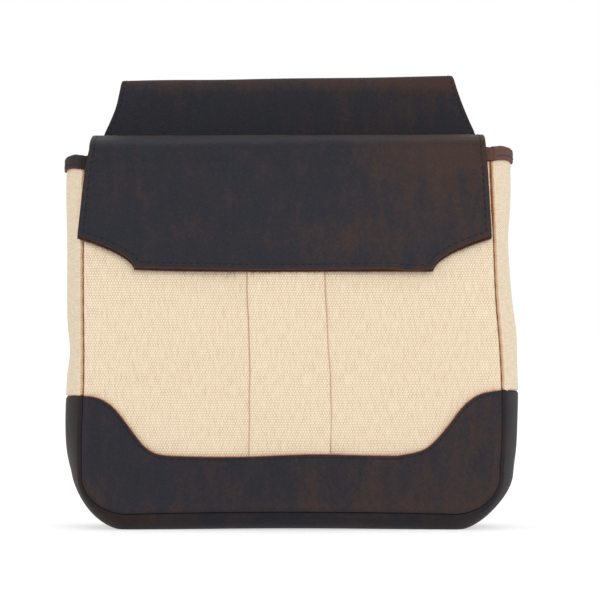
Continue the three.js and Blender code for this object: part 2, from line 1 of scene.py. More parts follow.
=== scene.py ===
import bpy
import numpy as np
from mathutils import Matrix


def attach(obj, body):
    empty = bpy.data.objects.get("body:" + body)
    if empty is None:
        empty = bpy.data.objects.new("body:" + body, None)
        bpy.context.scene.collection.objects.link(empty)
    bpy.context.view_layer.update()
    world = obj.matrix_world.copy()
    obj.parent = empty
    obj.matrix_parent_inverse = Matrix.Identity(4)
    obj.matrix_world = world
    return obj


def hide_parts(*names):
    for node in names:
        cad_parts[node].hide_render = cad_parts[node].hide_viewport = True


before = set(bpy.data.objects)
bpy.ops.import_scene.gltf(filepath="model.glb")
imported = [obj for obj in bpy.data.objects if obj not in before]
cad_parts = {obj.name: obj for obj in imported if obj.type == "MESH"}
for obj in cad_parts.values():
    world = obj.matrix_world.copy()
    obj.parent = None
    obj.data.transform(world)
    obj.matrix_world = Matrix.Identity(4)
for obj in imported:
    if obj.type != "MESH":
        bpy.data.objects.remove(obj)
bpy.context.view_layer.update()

# A hunting bag for a waist belt. Lengths are in millimetres until a mesh is made,
# which turns them into metres. X runs to the right, Y to the back and Z up.
METRE = 0.001
PI = np.pi

# The canvas pouch
PANEL_WIDTH = 228
PANEL_FOOT = 9
CORNER_WIDTH = 25
CORNER_HEIGHT = 21
MOUTH_HEIGHT = 206
MOUTH_RISE = 4.8
POUCH_DEPTH = 62
FRONT_BOW = 5
SIDE_BULGE = 9
GUSSET_DIP = 1.2
CORNER_DROP = 0.6
WIDEST_DROP = 1.7
CANVAS = 1.2
BACK = POUCH_DEPTH / 2
CORNER_TOP = PANEL_FOOT + CORNER_HEIGHT

# The box pleat
PLEAT_WIDTH = 43
PLEAT_RISE = 1.6
PLEAT_OFFSET = -1.2
PLEAT_TUCK = 6
PLEAT_PRESSED = 1.1  # its thickness under the leather

# The leather base
LEATHER = 1.6
BASE_SHOULDER = 75
BASE_HOLLOW = 41
BASE_RISE = 3
OGEE_REACH = 56
GUSSET_LAP = 6
LAP_EASE = 38
LAP_INSET = 0.05
LAP_TUCK = 1.3
LAP_BULGE = 0.8
BASE_BULGE = 8.2
CORNER_PINCH = 0.25
SLACK_LEFT = 3.2  # how far the lower side corners draw in
SLACK_RIGHT = 1.6

# The flap
FLAP_WIDTH = 218
FLAP_FLARE = 11.6
FLAP_TAPER = 0.3
FLAP_SKEW = -2.0
FLAP_HEM = 141.9
HEM_SAG = 1.3
HEM_DROP = 0.4
HEM_DIP = 1.5  # how much lower it runs near the right cut
FLAP_RISE = 8
FLAP_TAB = 16
FLAP_SETBACK = 5
FLAP_STANDOFF = 0.8
FLAP_TRIM = 1.6  # how much narrower it is cut than its pattern
FLARE_POWER = 0.7
CUT_WIDTH = 33
CUT_RISE = 17.2
CUT_CURVE = 0.58
LINING = 1
LINING_SHOW = 1.2

# The belt loop
LOOP_HEIGHT = 250
LOOP_TILT = 2.8
LOOP_WIDTH = 185
LOOP_FLARE = 15
LOOP_FLARE_DROP = 47
LOOP_OFFSET = -3
LOOP_LAP = 13
LOOP_FOOT = 122
LOOP_SEAM = 9
BELT_ROOM = 9

# The tape round the mouth
TAPE = 0.9
TAPE_WIDTH = 6.6

GAP = 0.3
SIDE_POWER = 2.2
BASE_POWER = 6
FOOT_BOW = 1.2  # how much higher the bottom seam runs in the middle

# Sewing
SEAM_ROLL = 1.3  # how far from a seam the canvas starts to turn in
SEAM_SINK = 0.55  # how deep it turns in
LEATHER_ROLL = 1.9
LEATHER_SINK = 1.3
FLAP_STITCH_INSET = 3.0
BASE_STITCH_INSET = 2.0
LOOP_STITCH_INSET = 2.2
LOOP_FOOT_STITCHES = 3, 7  # two rows, from the lower edge

# Each row: height as a share of MOUTH_HEIGHT, then the left and right side seams
# as shares of half of PANEL_WIDTH
SIDE_SEAMS = np.array(
    [
        [0.17, 1.004, 0.99],
        [0.24, 1.004, 0.998],
        [0.38, 0.995, 0.998],
        [0.48, 0.994, 0.99],
        [0.61, 0.997, 0.972],
        [0.78, 0.998, 0.961],
        [1.0, 0.991, 0.946],
    ]
)

# Each row: height as a share of MOUTH_HEIGHT, depth as a share of POUCH_DEPTH,
# bow as a share of FRONT_BOW, left and right bulges as shares of SIDE_BULGE
FULLNESS = np.array(
    [
        [0.0, 1.0, 0.0, 0.96, 0.96],
        [0.12, 1.0, 0.3, 0.9, 0.9],
        [0.3, 0.995, 0.85, 0.96, 0.94],
        [0.4, 0.99, 0.95, 0.97, 0.96],
        [0.47, 0.985, 1.0, 0.79, 0.96],
        [0.56, 0.97, 1.0, 0.92, 1.0],
        [0.76, 0.91, 0.85, 0.98, 0.9],
        [0.9, 0.84, 0.5, 1.1, 1.16],
        [1.0, 0.8, 0.35, 1.13, 1.28],
    ]
)

# Each row: inward as a share of OGEE_REACH, then the left and right edges as
# shares of the drop from BASE_SHOULDER to BASE_HOLLOW
OGEE = np.array(
    [
        [0.0, 1.0, 1.0],
        [0.1, 0.98, 0.98],
        [0.2, 0.92, 0.945],
        [0.3, 0.8, 0.86],
        [0.4, 0.605, 0.715],
        [0.5, 0.38, 0.505],
        [0.6, 0.17, 0.31],
        [0.7, 0.05, 0.15],
        [0.8, 0.01, 0.065],
        [1.0, 0.0, 0.0],
    ]
)

# Each row: back as a share of the way to the back panel, rise as a share of
# FLAP_RISE, tilt as a share of the mouth's own tilt
FLAP_ROOF = np.array(
    [
        [1.0, 0.1, 1.0],
        [0.94, 0.72, 0.5],
        [0.82, 1.0, 0.15],
        [0.55, 0.97, 0.15],
        [0.28, 0.8, 0.3],
        [0.1, 0.52, 0.5],
        [0.01, 0.08, 0.7],
    ]
)

# Each row: drop as a share of LOOP_FLARE_DROP, then the left and right sides as
# shares of LOOP_FLARE
LOOP_SIDES = np.array(
    [
        [0.0, 0.0, 0.0],
        [0.17, 0.11, 0.18],
        [0.36, 0.25, 0.4],
        [0.55, 0.48, 0.66],
        [0.69, 0.67, 0.86],
        [0.85, 0.79, 0.97],
        [1.0, 0.84, 1.0],
    ]
)


def blend(a, b, k):
    """a at k 0, b at k 1, and straight between."""
    return a + (b - a) * k


def ease(value, low, high):
    """0 below low, 1 above high, and between them k k (3 - 2k)."""
    k = np.clip((value - low) / (high - low), 0, 1)
    return k * k * (3 - 2 * k)


def hump(value, middle, width):
    """The bell curve exp(-((value - middle) / width) squared)."""
    return np.exp(-(((value - middle) / width) ** 2))


def curve_of(table, column):
    """A smooth curve through a table's column, read by its first one: cubic pieces
    whose slope at each row is that from the row before to the row after."""
    at, values = table[:, 0], table[:, column]
    last = len(at) - 1
    before = np.maximum(np.arange(last + 1) - 1, 0)
    after = np.minimum(np.arange(last + 1) + 1, last)
    slopes = (values[after] - values[before]) / (at[after] - at[before])

    def curve(wanted):
        wanted = np.clip(wanted, at[0], at[-1])
        i = np.clip(np.searchsorted(at, wanted) - 1, 0, last - 1)
        span = at[i + 1] - at[i]
        k = (wanted - at[i]) / span
        rise = blend(values[i], values[i + 1], k * k * (3 - 2 * k))
        start = slopes[i] * span * k * (1 - k) ** 2
        end = slopes[i + 1] * span * k * k * (1 - k)
        return rise + start - end

    return curve


def both_sides(table, left):
    """A curve for either side of the bag, through the columns left and left + 1."""
    curves = curve_of(table, left), curve_of(table, left + 1)
    return lambda side, at: np.where(side < 0, curves[0](at), curves[1](at))


seam_share = both_sides(SIDE_SEAMS, 1)
bulge_share = both_sides(FULLNESS, 3)
ogee_share = both_sides(OGEE, 1)
loop_share = both_sides(LOOP_SIDES, 1)
depth_share = curve_of(FULLNESS, 1)
bow_share = curve_of(FULLNESS, 2)


def seam_reach(side, z):
    """Distance of a side seam from the middle plane, above the corners."""
    return PANEL_WIDTH / 2 * seam_share(side, z / MOUTH_HEIGHT)


def panel_edge(side, z):
    """X of a panel's edge: the side seam, less a quarter ellipse at the corner."""
    below = np.clip((CORNER_TOP - z) / CORNER_HEIGHT, 0, 1)
    return side * (seam_reach(side, z) - CORNER_WIDTH * (1 - np.sqrt(1 - below**2)))


def panel_middle(z):
    """X midway between the side seams."""
    return (seam_reach(1, z) - seam_reach(-1, z)) / 2


def mouth_edge(x):
    """Height of the mouth's edge, which rises evenly to the right."""
    return MOUTH_HEIGHT + MOUTH_RISE * x / PANEL_WIDTH


def front_seam(z):
    """Y of the front seam."""
    return BACK - POUCH_DEPTH * depth_share(z / MOUTH_HEIGHT)


def front_face(x, z):
    """Y of the front panel: the seam's, less a parabola across the panel."""
    middle = panel_middle(z)
    side = np.where(x < middle, -1, 1)
    across = (x - middle) / (seam_reach(side, z) - side * middle)
    bow = FRONT_BOW * bow_share(z / MOUTH_HEIGHT) * (1 - across**2)
    return front_seam(z) - np.maximum(0, bow)


def pleat_middle(z):
    return panel_middle(z) + PLEAT_OFFSET


def shoulder(side):
    return BASE_SHOULDER + side * BASE_RISE / 2


def foot_bow(x):
    """How much higher the bottom seam runs towards the middle: a parabola."""
    return FOOT_BOW * np.clip(1 - (x / 88) ** 2, 0, 1)


def base_edge(x):
    """Height of the leather's upper edge: an ogee down from each shoulder, cut a
    little unevenly across the middle."""
    side = np.where(x < 0, -1, 1)
    share = ogee_share(side, (seam_reach(side, BASE_SHOULDER) - side * x) / OGEE_REACH)
    uneven = 0.8 * hump(x, 13, 22) - 0.7 * hump(x, -38, 24)
    return blend(BASE_HOLLOW, shoulder(side), share) + uneven


def pleat_lift(x, z):
    """How far the leather is lifted over the pleat's flattened foot, eased widely
    beside and below it."""
    beside = np.abs(x - pleat_middle(z))
    across = 1 - ease(beside, PLEAT_WIDTH / 2 - 2, PLEAT_WIDTH / 2 + 16)
    return (PLEAT_PRESSED + GAP) * across * ease(z, PANEL_FOOT, BASE_HOLLOW - 2)


def panel_foot(out, side):
    """Height of the panels' lower edge, so far out: a quarter ellipse."""
    reach = seam_reach(side, CORNER_TOP) - CORNER_WIDTH
    past = np.clip((out - reach) / CORNER_WIDTH, 0, 1)
    return CORNER_TOP - CORNER_HEIGHT * np.sqrt(1 - past**2)


def swell(share, power):
    """1 midway between two seams and 0 at both."""
    return 1 - np.abs(2 * share - 1) ** power


def gusset_y(z, share):
    return blend(front_seam(z), BACK, share)


def gusset_reach(side, z, share):
    """How far a canvas gusset's inner face stands out past the side seam."""
    bulge = SIDE_BULGE * bulge_share(side, z / MOUTH_HEIGHT)
    return GAP + bulge * swell(share, SIDE_POWER)


def end_drop(share):
    """How much lower the mouth's edge runs beside the side seams."""
    return CORNER_DROP * ease(np.abs(2 * share - 1), 0.9, 1)


def gusset_top(side, share):
    """Height of a gusset's edge: low beside its seams, and sagging as the sixth
    power of the swell towards its widest."""
    wide = swell(np.clip(share, 0, 1), SIDE_POWER)
    low = CORNER_DROP * (1 - ease(wide, 0, 0.45)) + WIDEST_DROP * wide**6
    return mouth_edge(side * PANEL_WIDTH / 2) + 0.3 - low


def waves(a, b, seed, shortest, longest, count=7):
    """Smooth unevenness from -1 to 1: the mean of sine waves over two coordinates,
    each with a seeded direction, length and phase."""
    random = np.random.default_rng(seed)
    total = 0
    for length, turn, phase in zip(
        random.uniform(shortest, longest, count),
        random.uniform(0, PI, count),
        random.uniform(0, 2 * PI, count),
    ):
        way = a * np.cos(turn) + b * np.sin(turn)
        total = total + np.sin(2 * PI * way / length + phase)
    return total / count * 1.6


def rim(distance, radius, power=2):
    """Share of the full thickness near an edge: a quarter circle over radius, or
    with a higher power a squarer corner."""
    k = np.clip(distance / radius, 0, 1)
    return (1 - (1 - k) ** power) ** (1 / power)


def unit(vectors):
    """Vectors of length 1, the same way."""
    return vectors / np.linalg.norm(vectors, axis=-1, keepdims=True)


def run_of(line):
    """Length along a polyline up to each of its points."""
    return np.concatenate([[0], np.cumsum(np.linalg.norm(np.diff(line, axis=0), axis=-1))])


def close(half):
    """Bring a sheet's two faces together all round its border."""
    half[[0, -1]] = 0
    half[:, [0, -1]] = 0


def roll(distance, radius):
    """1 at a seam, 0 from radius on, and a quarter circle between."""
    return 1 - rim(distance, radius)


def spaced(low, high, edge, count, fine=5):
    """Places from low to high: even in the middle, and within edge of both ends at
    the cosines of even angles, for a round edge."""
    turn = edge * (1 - np.cos(np.linspace(0, PI / 2, fine + 1)))
    middle = np.linspace(low + edge, high - edge, count + 1)[1:-1]
    return np.concatenate([low + turn, middle, high - turn[::-1]])


def distance_to(places, line):
    """Distance of each flat place to a polyline: the least over its segments of
    the distance to the nearest point of the segment."""
    start = line[:-1]
    along = line[1:] - start
    length = np.maximum((along**2).sum(-1), 1e-12)
    flat = places.reshape(-1, 2)
    found = []
    for part in np.array_split(flat, 1 + len(flat) // 3000):
        gap = part[:, None] - start
        k = np.clip((gap * along).sum(-1) / length, 0, 1)
        gap = gap - k[..., None] * along
        found.append(np.sqrt((gap**2).sum(-1).min(1)))
    return np.concatenate(found).reshape(places.shape[:-1])


def resample(line, step):
    """Points along a polyline, a step apart, in as many columns as it has."""
    run = run_of(line)
    at = np.linspace(0, run[-1], max(2, round(run[-1] / step) + 1))
    return np.stack([np.interp(at, run, column) for column in line.T], -1)


def inset_line(line, gap):
    """A flat polyline moved to its left by gap, without what comes too near it."""
    line = resample(line, 0.5)
    way = np.gradient(line, axis=0)
    way = unit(way)
    moved = line + gap * np.stack([-way[:, 1], way[:, 0]], -1)
    return moved[distance_to(moved, line) > gap - 0.05]


def points_of(x, y, z):
    """Three arrays as one array of points."""
    return np.stack(np.broadcast_arrays(x, y, z), -1)


def pattern_area(x, z):
    """Flat area of a cut piece, in square metres, from the border of its grid laid in
    the plane: half the sum of x dz - z dx round it."""
    grid = np.stack([x, z], -1)
    sides = [grid[0, :-1], grid[:-1, -1], grid[-1, :0:-1], grid[:0:-1, 0]]
    x, z = np.concatenate(sides).T
    return abs(np.sum(x * np.roll(z, -1) - z * np.roll(x, -1))) / 2 * METRE**2


def cells(grid):
    """Four corners of each cell of a grid of vertex numbers."""
    corners = [grid[:-1, :-1], grid[:-1, 1:], grid[1:, 1:], grid[1:, :-1]]
    return np.stack(corners, -1).reshape(-1, 4)


def skin(outer, inner, facts):
    """One closed skin from two grids of points with the same border. The inner
    grid adds only its inside points, and its faces turn the other way. Facts are
    grids of values that both faces take, and inside is 0 outside and 1 inside."""
    rows, columns = outer.shape[:2]
    number = np.arange(rows * columns).reshape(rows, columns)
    behind = number.copy()
    within = np.arange((rows - 2) * (columns - 2)).reshape(rows - 2, columns - 2)
    behind[1:-1, 1:-1] = rows * columns + within
    core = (slice(1, -1), slice(1, -1))
    points = np.concatenate([outer.reshape(-1, 3), inner[core].reshape(-1, 3)])
    faces = np.concatenate([cells(number), cells(behind)[:, ::-1]])
    values = {"inside": np.repeat([0.0, 1.0], [rows * columns, within.size])}
    for name, value in facts.items():
        value = np.broadcast_to(value, (rows, columns) + np.shape(value)[2:])
        flat = value.reshape((rows * columns,) + value.shape[2:])
        values[name] = np.concatenate([flat, value[core].reshape((-1,) + value.shape[2:])])
    return points, faces, values


def volume_of(points, faces):
    """Signed volume inside quads or triangles, as fans from each face's corner."""
    total = 0
    for k in range(1, faces.shape[1] - 1):
        a, b, c = points[faces[:, 0]], points[faces[:, k]], points[faces[:, k + 1]]
        total += (a * np.cross(b, c)).sum() / 6
    return total


def added(name, data):
    """A new object in the scene."""
    made = bpy.data.objects.new(name, data)
    bpy.context.scene.collection.objects.link(made)
    return made


def piece(name, points, faces, values, finish, slot, nodes=()):
    """A shown piece of the bag from its points, faces and values at each point.
    The value cloth holds flat coordinates and becomes the UV map."""
    if volume_of(points, faces) < 0:
        faces = faces[:, ::-1]
    mesh = bpy.data.meshes.new(name)
    mesh.from_pydata((points * METRE).tolist(), [], faces.tolist())
    corners = np.zeros(len(mesh.loops), np.int32)
    mesh.loops.foreach_get("vertex_index", corners)
    for key, value in values.items():
        if key == "cloth":
            flat = mesh.uv_layers.new(name="cloth")
            flat.data.foreach_set("uv", value[corners].astype(np.float32).ravel())
        else:
            held = mesh.attributes.new(key, "FLOAT", "POINT")
            held.data.foreach_set("value", value.astype(np.float32))
    mesh.polygons.foreach_set("use_smooth", np.ones(len(mesh.polygons), bool))
    mesh.materials.append(finish)
    mesh.update()
    made = added(name, mesh)
    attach(made, "root")
    if nodes:
        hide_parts(*nodes)
    return made


def tube(line, radius, sides=8):
    """A closed round tube along a polyline: rings square to it, whose radius may
    differ at each point, and a point at each end."""
    way = np.gradient(line, axis=0)
    way = unit(way)
    side = np.cross(way, [0.0, 1.0, 0.0])
    side /= np.maximum(np.linalg.norm(side, axis=-1, keepdims=True), 1e-9)
    up = np.cross(side, way)
    angle = np.linspace(0, 2 * PI, sides, endpoint=False)[None, :, None]
    radius = np.broadcast_to(radius, len(line))[:, None, None]
    rings = line[:, None] + radius * (np.cos(angle) * side[:, None] + np.sin(angle) * up[:, None])
    number = np.arange(len(line) * sides).reshape(-1, sides)
    around = np.concatenate([number, number[:, :1]], 1)
    ends = len(line) * sides + np.arange(2)
    faces = cells(around)
    caps = []
    for ring, end in ((around[0], ends[0]), (around[-1][::-1], ends[1])):
        corner = np.full(sides, end)
        caps.append(np.stack([corner, ring[1:], ring[:-1], ring[:-1]], -1))
    points = np.concatenate([rings.reshape(-1, 3), line[[0]], line[[-1]]])
    return points, faces, np.concatenate(caps)[:, :3]


def thread_row(points, normals, pitch, length, radius, arch=0.25):
    """Stitches along a polyline on a surface: the same low grain of thread at each
    pitch, round in section, whose ends dip into the surface by arch."""
    run = run_of(points)
    at = np.arange(pitch / 2, run[-1] - length / 2, pitch)
    both = np.concatenate([points, normals], 1)
    place = np.stack([np.interp(at, run, column) for column in both.T], -1)
    ahead = np.stack([np.interp(at + 0.4, run, column) for column in points.T], -1)
    behind = np.stack([np.interp(at - 0.4, run, column) for column in points.T], -1)
    way = ahead - behind
    way = unit(way)
    out = place[:, 3:]
    out = out - (out * way).sum(-1, keepdims=True) * way
    out = unit(out)
    side = np.cross(way, out)
    along = np.linspace(-1, 1, 6)
    angle = np.linspace(0, 2 * PI, 7, endpoint=True)[:-1]
    size = radius * np.sqrt(1 - 0.9 * along**4)
    lift = radius * 0.1 - arch * along**4
    ring = (
        place[:, None, None, :3]
        + way[:, None, None] * (along * length / 2)[None, :, None, None]
        + out[:, None, None] * (lift[:, None] + size[:, None] * np.sin(angle))[None, :, :, None]
        + side[:, None, None] * (size[:, None] * np.cos(angle))[None, :, :, None]
    )
    number = np.arange(36).reshape(6, 6)
    around = np.concatenate([number, number[:, :1]], 1)
    near, far = number[0], number[-1]
    caps = [near[[0, 3, 2, 1]], near[[0, 5, 4, 3]], far[[0, 1, 2, 3]], far[[0, 3, 4, 5]]]
    one = np.concatenate([cells(around), np.array(caps)])
    faces = (one[None] + 36 * np.arange(len(at))[:, None, None]).reshape(-1, 4)
    return ring.reshape(-1, 3), faces


def gather(parts):
    """Several sets of points and faces as one."""
    points, faces, base = [], [], 0
    for some_points, some_faces in parts:
        points.append(some_points)
        faces.append(some_faces + base)
        base += len(some_points)
    return np.concatenate(points), np.concatenate(faces)


class Value:
    """A socket's output. Arithmetic on it adds Math nodes to its material."""

    def __init__(self, finish, socket):
        self.finish = finish
        self.socket = socket

    def maths(self, operation, *others):
        return self.finish.node("ShaderNodeMath", {"operation": operation}, *others)

    def __add__(self, other):
        return self.maths("ADD", self, other)

    def __radd__(self, other):
        return self.maths("ADD", other, self)

    def __sub__(self, other):
        return self.maths("SUBTRACT", self, other)

    def __rsub__(self, other):
        return self.maths("SUBTRACT", other, self)

    def __mul__(self, other):
        return self.maths("MULTIPLY", self, other)

    def __rmul__(self, other):
        return self.maths("MULTIPLY", other, self)

    def __truediv__(self, other):
        return self.maths("DIVIDE", self, other)

    def __pow__(self, other):
        return self.maths("POWER", self, other)

    def cosine(self):
        return self.maths("COSINE", self)

    def between(self, low, high, start=0.0, end=1.0):
        """start below low, end above high, smooth between."""
        settings = {"interpolation_type": "SMOOTHSTEP"}
        values = {"Value": self, "From Min": low, "From Max": high, "To Min": start, "To Max": end}
        return self.finish.node("ShaderNodeMapRange", settings, **values)


class Finish:
    """A material and its nodes."""

    def __init__(self, name):
        self.material = bpy.data.materials.new(name)
        self.material.use_nodes = True
        self.tree = self.material.node_tree
        self.tree.nodes.clear()

    def node(self, kind, settings=None, *values, output=0, **named):
        """A node of a kind, its settings set first, then its sockets' values or
        links, by place or by name with _ for a space. Gives one of its outputs."""
        node = self.tree.nodes.new(kind)
        for key, setting in (settings or {}).items():
            if key == "stops":
                ramp = node.color_ramp
                while len(ramp.elements) < len(setting):
                    ramp.elements.new(0.5)
                for element, (place, colour) in zip(ramp.elements, setting):
                    element.position = place
                    element.color = (*colour, 1)
            else:
                setattr(node, key, setting)
        places = list(enumerate(values)) + list(named.items())
        for place, value in places:
            if isinstance(place, str):
                place = place.replace("_", " ")
            socket = node.inputs[place]
            if isinstance(value, Value):
                self.tree.links.new(value.socket, socket)
            else:
                socket.default_value = value
        return Value(self, node.outputs[output])

    def place(self, scale=(1000, 1000, 1000), turn=(0, 0, 0)):
        """Object coordinates in millimetres, or stretched or turned."""
        spot = self.node("ShaderNodeTexCoord", output="Object")
        return self.node("ShaderNodeMapping", None, Vector=spot, Rotation=turn, Scale=scale)

    def fact(self, name):
        """A value that the mesh holds at each point."""
        settings = {"attribute_type": "GEOMETRY", "attribute_name": name}
        return self.node("ShaderNodeAttribute", settings, output="Fac")

    def noise(self, where, scale, detail=2.0, roughness=0.5):
        return self.node(
            "ShaderNodeTexNoise", None, Vector=where, Scale=scale, Detail=detail, Roughness=roughness
        )

    def mix(self, share, a, b):
        """Colour a where share is 0 and b where it is 1."""
        node = self.tree.nodes.new("ShaderNodeMix")
        node.data_type = "RGBA"
        for place, value in ((0, share), (6, a), (7, b)):
            socket = node.inputs[place]
            if isinstance(value, Value):
                self.tree.links.new(value.socket, socket)
            elif place:
                socket.default_value = (*value, 1)
            else:
                socket.default_value = value
        return Value(self, node.outputs[2])

    def bump(self, height, depth, strength=1.0, over=None):
        """A bump of a height from 0 to 1, so deep in metres, over another."""
        extra = {"Normal": over} if over else {}
        return self.node(
            "ShaderNodeBump", None, Height=height, Distance=depth, Strength=strength, **extra
        )

    def surface(self, colour, roughness, normal=None, **constants):
        """The material's shader, with constants on its own sockets."""
        shader = self.tree.nodes.new("ShaderNodeBsdfPrincipled")
        given = {"Base Color": colour, "Roughness": roughness}
        if normal:
            given["Normal"] = normal
        for name, value in given.items():
            if isinstance(value, Value):
                self.tree.links.new(value.socket, shader.inputs[name])
            else:
                shader.inputs[name].default_value = value
        for name, value in constants.items():
            shader.inputs[name.replace("_", " ")].default_value = value
        end = self.tree.nodes.new("ShaderNodeOutputMaterial")
        self.tree.links.new(shader.outputs[0], end.inputs[0])
        return self.material


WARP_PITCH = 0.713  # between two warp threads, across
WEFT_PITCH = 1.46  # between two weft threads, up
CANVAS_LIGHT = (0.755, 0.65, 0.495)
CANVAS_HOLLOW = (0.415, 0.26, 0.128)
# painted shade: the brown that the seam grooves and the pleat's folds are darkened towards
CANVAS_SEAM_FOLD_SHADE = (0.36, 0.16, 0.055)


def canvas_finish():
    """Cotton duck: light knuckles of warp thread in rows, each row shifted by one
    warp thread, over tan hollows. The knuckles are cos(2 pi u / two pitches) times
    cos(pi v / pitch), and the rows cos(2 pi v / pitch)."""
    cloth = Finish("canvas")
    flat = cloth.node("ShaderNodeUVMap", {"uv_map": "cloth"})
    drift = cloth.noise(flat, 0.09, 2.0) - 0.5
    jitter = cloth.noise(flat, 0.9, 1.0) - 0.5
    across = cloth.node("ShaderNodeSeparateXYZ", None, flat, output=0)
    up = cloth.node("ShaderNodeSeparateXYZ", None, flat, output=1)
    across = across + drift * 1.6 + jitter * 0.25
    up = up + drift * 1.1 + jitter * 0.35
    column = (across * (PI / WARP_PITCH)).cosine()
    shift = (up * (PI / WEFT_PITCH)).cosine()
    row = (up * (2 * PI / WEFT_PITCH)).cosine()
    patch = cloth.noise(flat, 0.35, 2.0).between(0.35, 0.65, 0.45, 1.0)
    knuckle = 0.56 + column * shift * 0.28 * patch + row * 0.105
    stretched = cloth.node("ShaderNodeMapping", None, Vector=flat, Scale=(0.9, 0.14, 1))
    slub = cloth.noise(stretched, 1.0, 3.0)
    fluff = cloth.noise(flat, 3.2, 3.0, 0.7)
    tone = cloth.noise(flat, 0.016, 3.0)
    height = knuckle + (fluff - 0.5) * 0.55 + (slub - 0.5) * 0.4
    colour = cloth.mix(height.between(0.05, 0.85), CANVAS_HOLLOW, CANVAS_LIGHT)
    wear_and_painted_light = (tone - 0.5) * 0.5 + (slub - 0.5) * 0.35
    colour = cloth.mix(wear_and_painted_light.between(-0.25, 0.3, 0.0, 0.16), colour, (0.78, 0.69, 0.55))
    blush = cloth.noise(flat, 0.11, 3.0, 0.7).between(0.5, 0.75, 0.0, 0.14)
    colour = cloth.mix(blush, colour, (0.73, 0.53, 0.36))
    # painted shade at the seams and along the pleat's folds, as the mesh gives it
    stain = cloth.fact("stain") * (0.55 + fluff * 0.9)
    colour = cloth.mix(stain.between(0.12, 1.0), colour, CANVAS_SEAM_FOLD_SHADE)
    normal = cloth.bump(height, 0.00022, 0.8)
    return cloth.surface(
        colour,
        0.93,
        normal,
        Sheen_Weight=0.25,
        Sheen_Roughness=0.6,
        Sheen_Tint=(1.0, 0.95, 0.88, 1),
        Specular_IOR_Level=0.15,
    )


LEATHER_BLACK = (0.0182, 0.0192, 0.0262)
LEATHER_BROWN = (0.0475, 0.0275, 0.0235)
LEATHER_SCUFF = (0.062, 0.05, 0.046)
LEATHER_DARK_EDGE = (0.02, 0.01, 0.008)
LEATHER_RAW_EDGE = (0.36, 0.1, 0.03)
LEATHER_FLESH = (0.085, 0.05, 0.034)


def leather_finish():
    """Pull-up leather: blue-black wax over brown, which shows in upright streaks,
    in clouds and where the mesh says warm, which also holds painted reflections and
    highlights, with dull scuffs, and darker where the mesh holds painted shade. Its
    grain is cells and fine noise, its cut edges are as brown as the mesh says raw,
    and the stitch line is pressed in and darkened with painted shade."""
    hide = Finish("leather")
    spot = hide.place()
    streaks = hide.noise(hide.place((1000, 1000, 330)), 0.16, 4.0, 0.6)
    clouds = hide.noise(spot, 0.034, 4.0, 0.62)
    smudge = hide.noise(spot, 0.42, 4.0, 0.65)
    warm = hide.fact("warm")
    brown = warm + (clouds - 0.5) * 1.2 + (streaks - 0.5) * 1.4 + (smudge - 0.5) * 1.1
    colour = hide.mix(brown.between(-0.1, 1.1), LEATHER_BLACK, LEATHER_BROWN)
    pores = hide.node(
        "ShaderNodeTexVoronoi", {"feature": "DISTANCE_TO_EDGE"}, Vector=spot, Scale=0.95
    )
    fine = hide.noise(spot, 2.6, 4.0, 0.7)
    grain = pores.between(0.0, 0.22, 0.0, 0.55) + fine * 0.6
    colour = hide.mix(grain.between(0.15, 0.8, 0.35, 0.0), colour, (0.008, 0.007, 0.008))
    scuff = hide.noise(spot, 0.8, 3.0, 0.7).between(0.5, 0.75, 0.0, 0.2)
    colour = hide.mix(scuff, colour, LEATHER_SCUFF)
    inset = hide.fact("inset")
    fray = inset + (fine - 0.5) * 0.7
    # painted shade in the groove of the pressed stitch line
    pressed = hide.fact("line")
    groove = 1.0 - pressed.between(0.1, 0.7)
    colour = hide.mix(groove * 0.2, colour, (0.008, 0.006, 0.006))
    # painted shade: darker where the mesh asks, on the sides of the leather strip
    colour = hide.mix(hide.fact("dim"), colour, (0.006, 0.004, 0.003))
    flesh = hide.fact("inside") * inset.between(0.3, 0.8)
    nap = hide.noise(spot, 1.7, 4.0, 0.75)
    colour = hide.mix(flesh, colour, hide.mix(nap, (0.045, 0.026, 0.018), LEATHER_FLESH))
    edge = hide.mix(hide.fact("raw"), LEATHER_DARK_EDGE, LEATHER_RAW_EDGE)
    colour = hide.mix(fray.between(0.1, 0.48, 1.0, 0.0), colour, edge)
    roughness = 0.56 + (clouds - 0.5) * 0.2 + (fine - 0.5) * 0.2 + flesh * 0.3
    height = grain - groove * 1.2 + (smudge - 0.5) * 0.8
    normal = hide.bump(height, 0.00012, 0.7)
    return hide.surface(colour, roughness, normal, Specular_IOR_Level=0.1)


def suede_finish():
    """Rough-side leather: brown nap in clouds, redder at its cut edge."""
    nap = Finish("suede")
    spot = nap.place()
    clouds = nap.noise(spot, 0.2, 4.0, 0.7)
    fibres = nap.noise(nap.place((1000, 1000, 400)), 2.4, 4.0, 0.8)
    colour = nap.mix(clouds.between(0.3, 0.7), (0.02, 0.01, 0.007), (0.055, 0.026, 0.015))
    inset = nap.fact("inset") + (fibres - 0.5) * 0.9
    colour = nap.mix(inset.between(0.2, 0.9, 0.75, 0.0), colour, (0.042, 0.02, 0.014))
    normal = nap.bump(fibres, 0.0003, 0.9)
    return nap.surface(colour, 0.95, normal, Sheen_Weight=0.2, Specular_IOR_Level=0.15)


def tape_finish():
    """Thin leather tape: red-brown where the mesh says warm, which on the right is a
    painted warm reflection, elsewhere dark, with darker clouds and redder cut edges.
    """
    tape = Finish("tape")
    spot = tape.place()
    clouds = tape.noise(spot, 0.12, 4.0, 0.6)
    fine = tape.noise(spot, 1.9, 4.0, 0.7)
    warm = tape.fact("warm") + (clouds - 0.5) * 0.9 + (fine - 0.5) * 0.3
    colour = tape.mix(warm.between(0.0, 1.0), (0.021, 0.0145, 0.0145), (0.1, 0.05, 0.04))
    inset = tape.fact("inset") + (fine - 0.5) * 0.5
    colour = tape.mix(inset.between(0.3, 0.75, 0.9, 0.0), colour, (0.14, 0.035, 0.018))
    normal = tape.bump(fine + clouds, 0.00015, 0.8)
    return tape.surface(colour, 0.66, normal, Specular_IOR_Level=0.16)


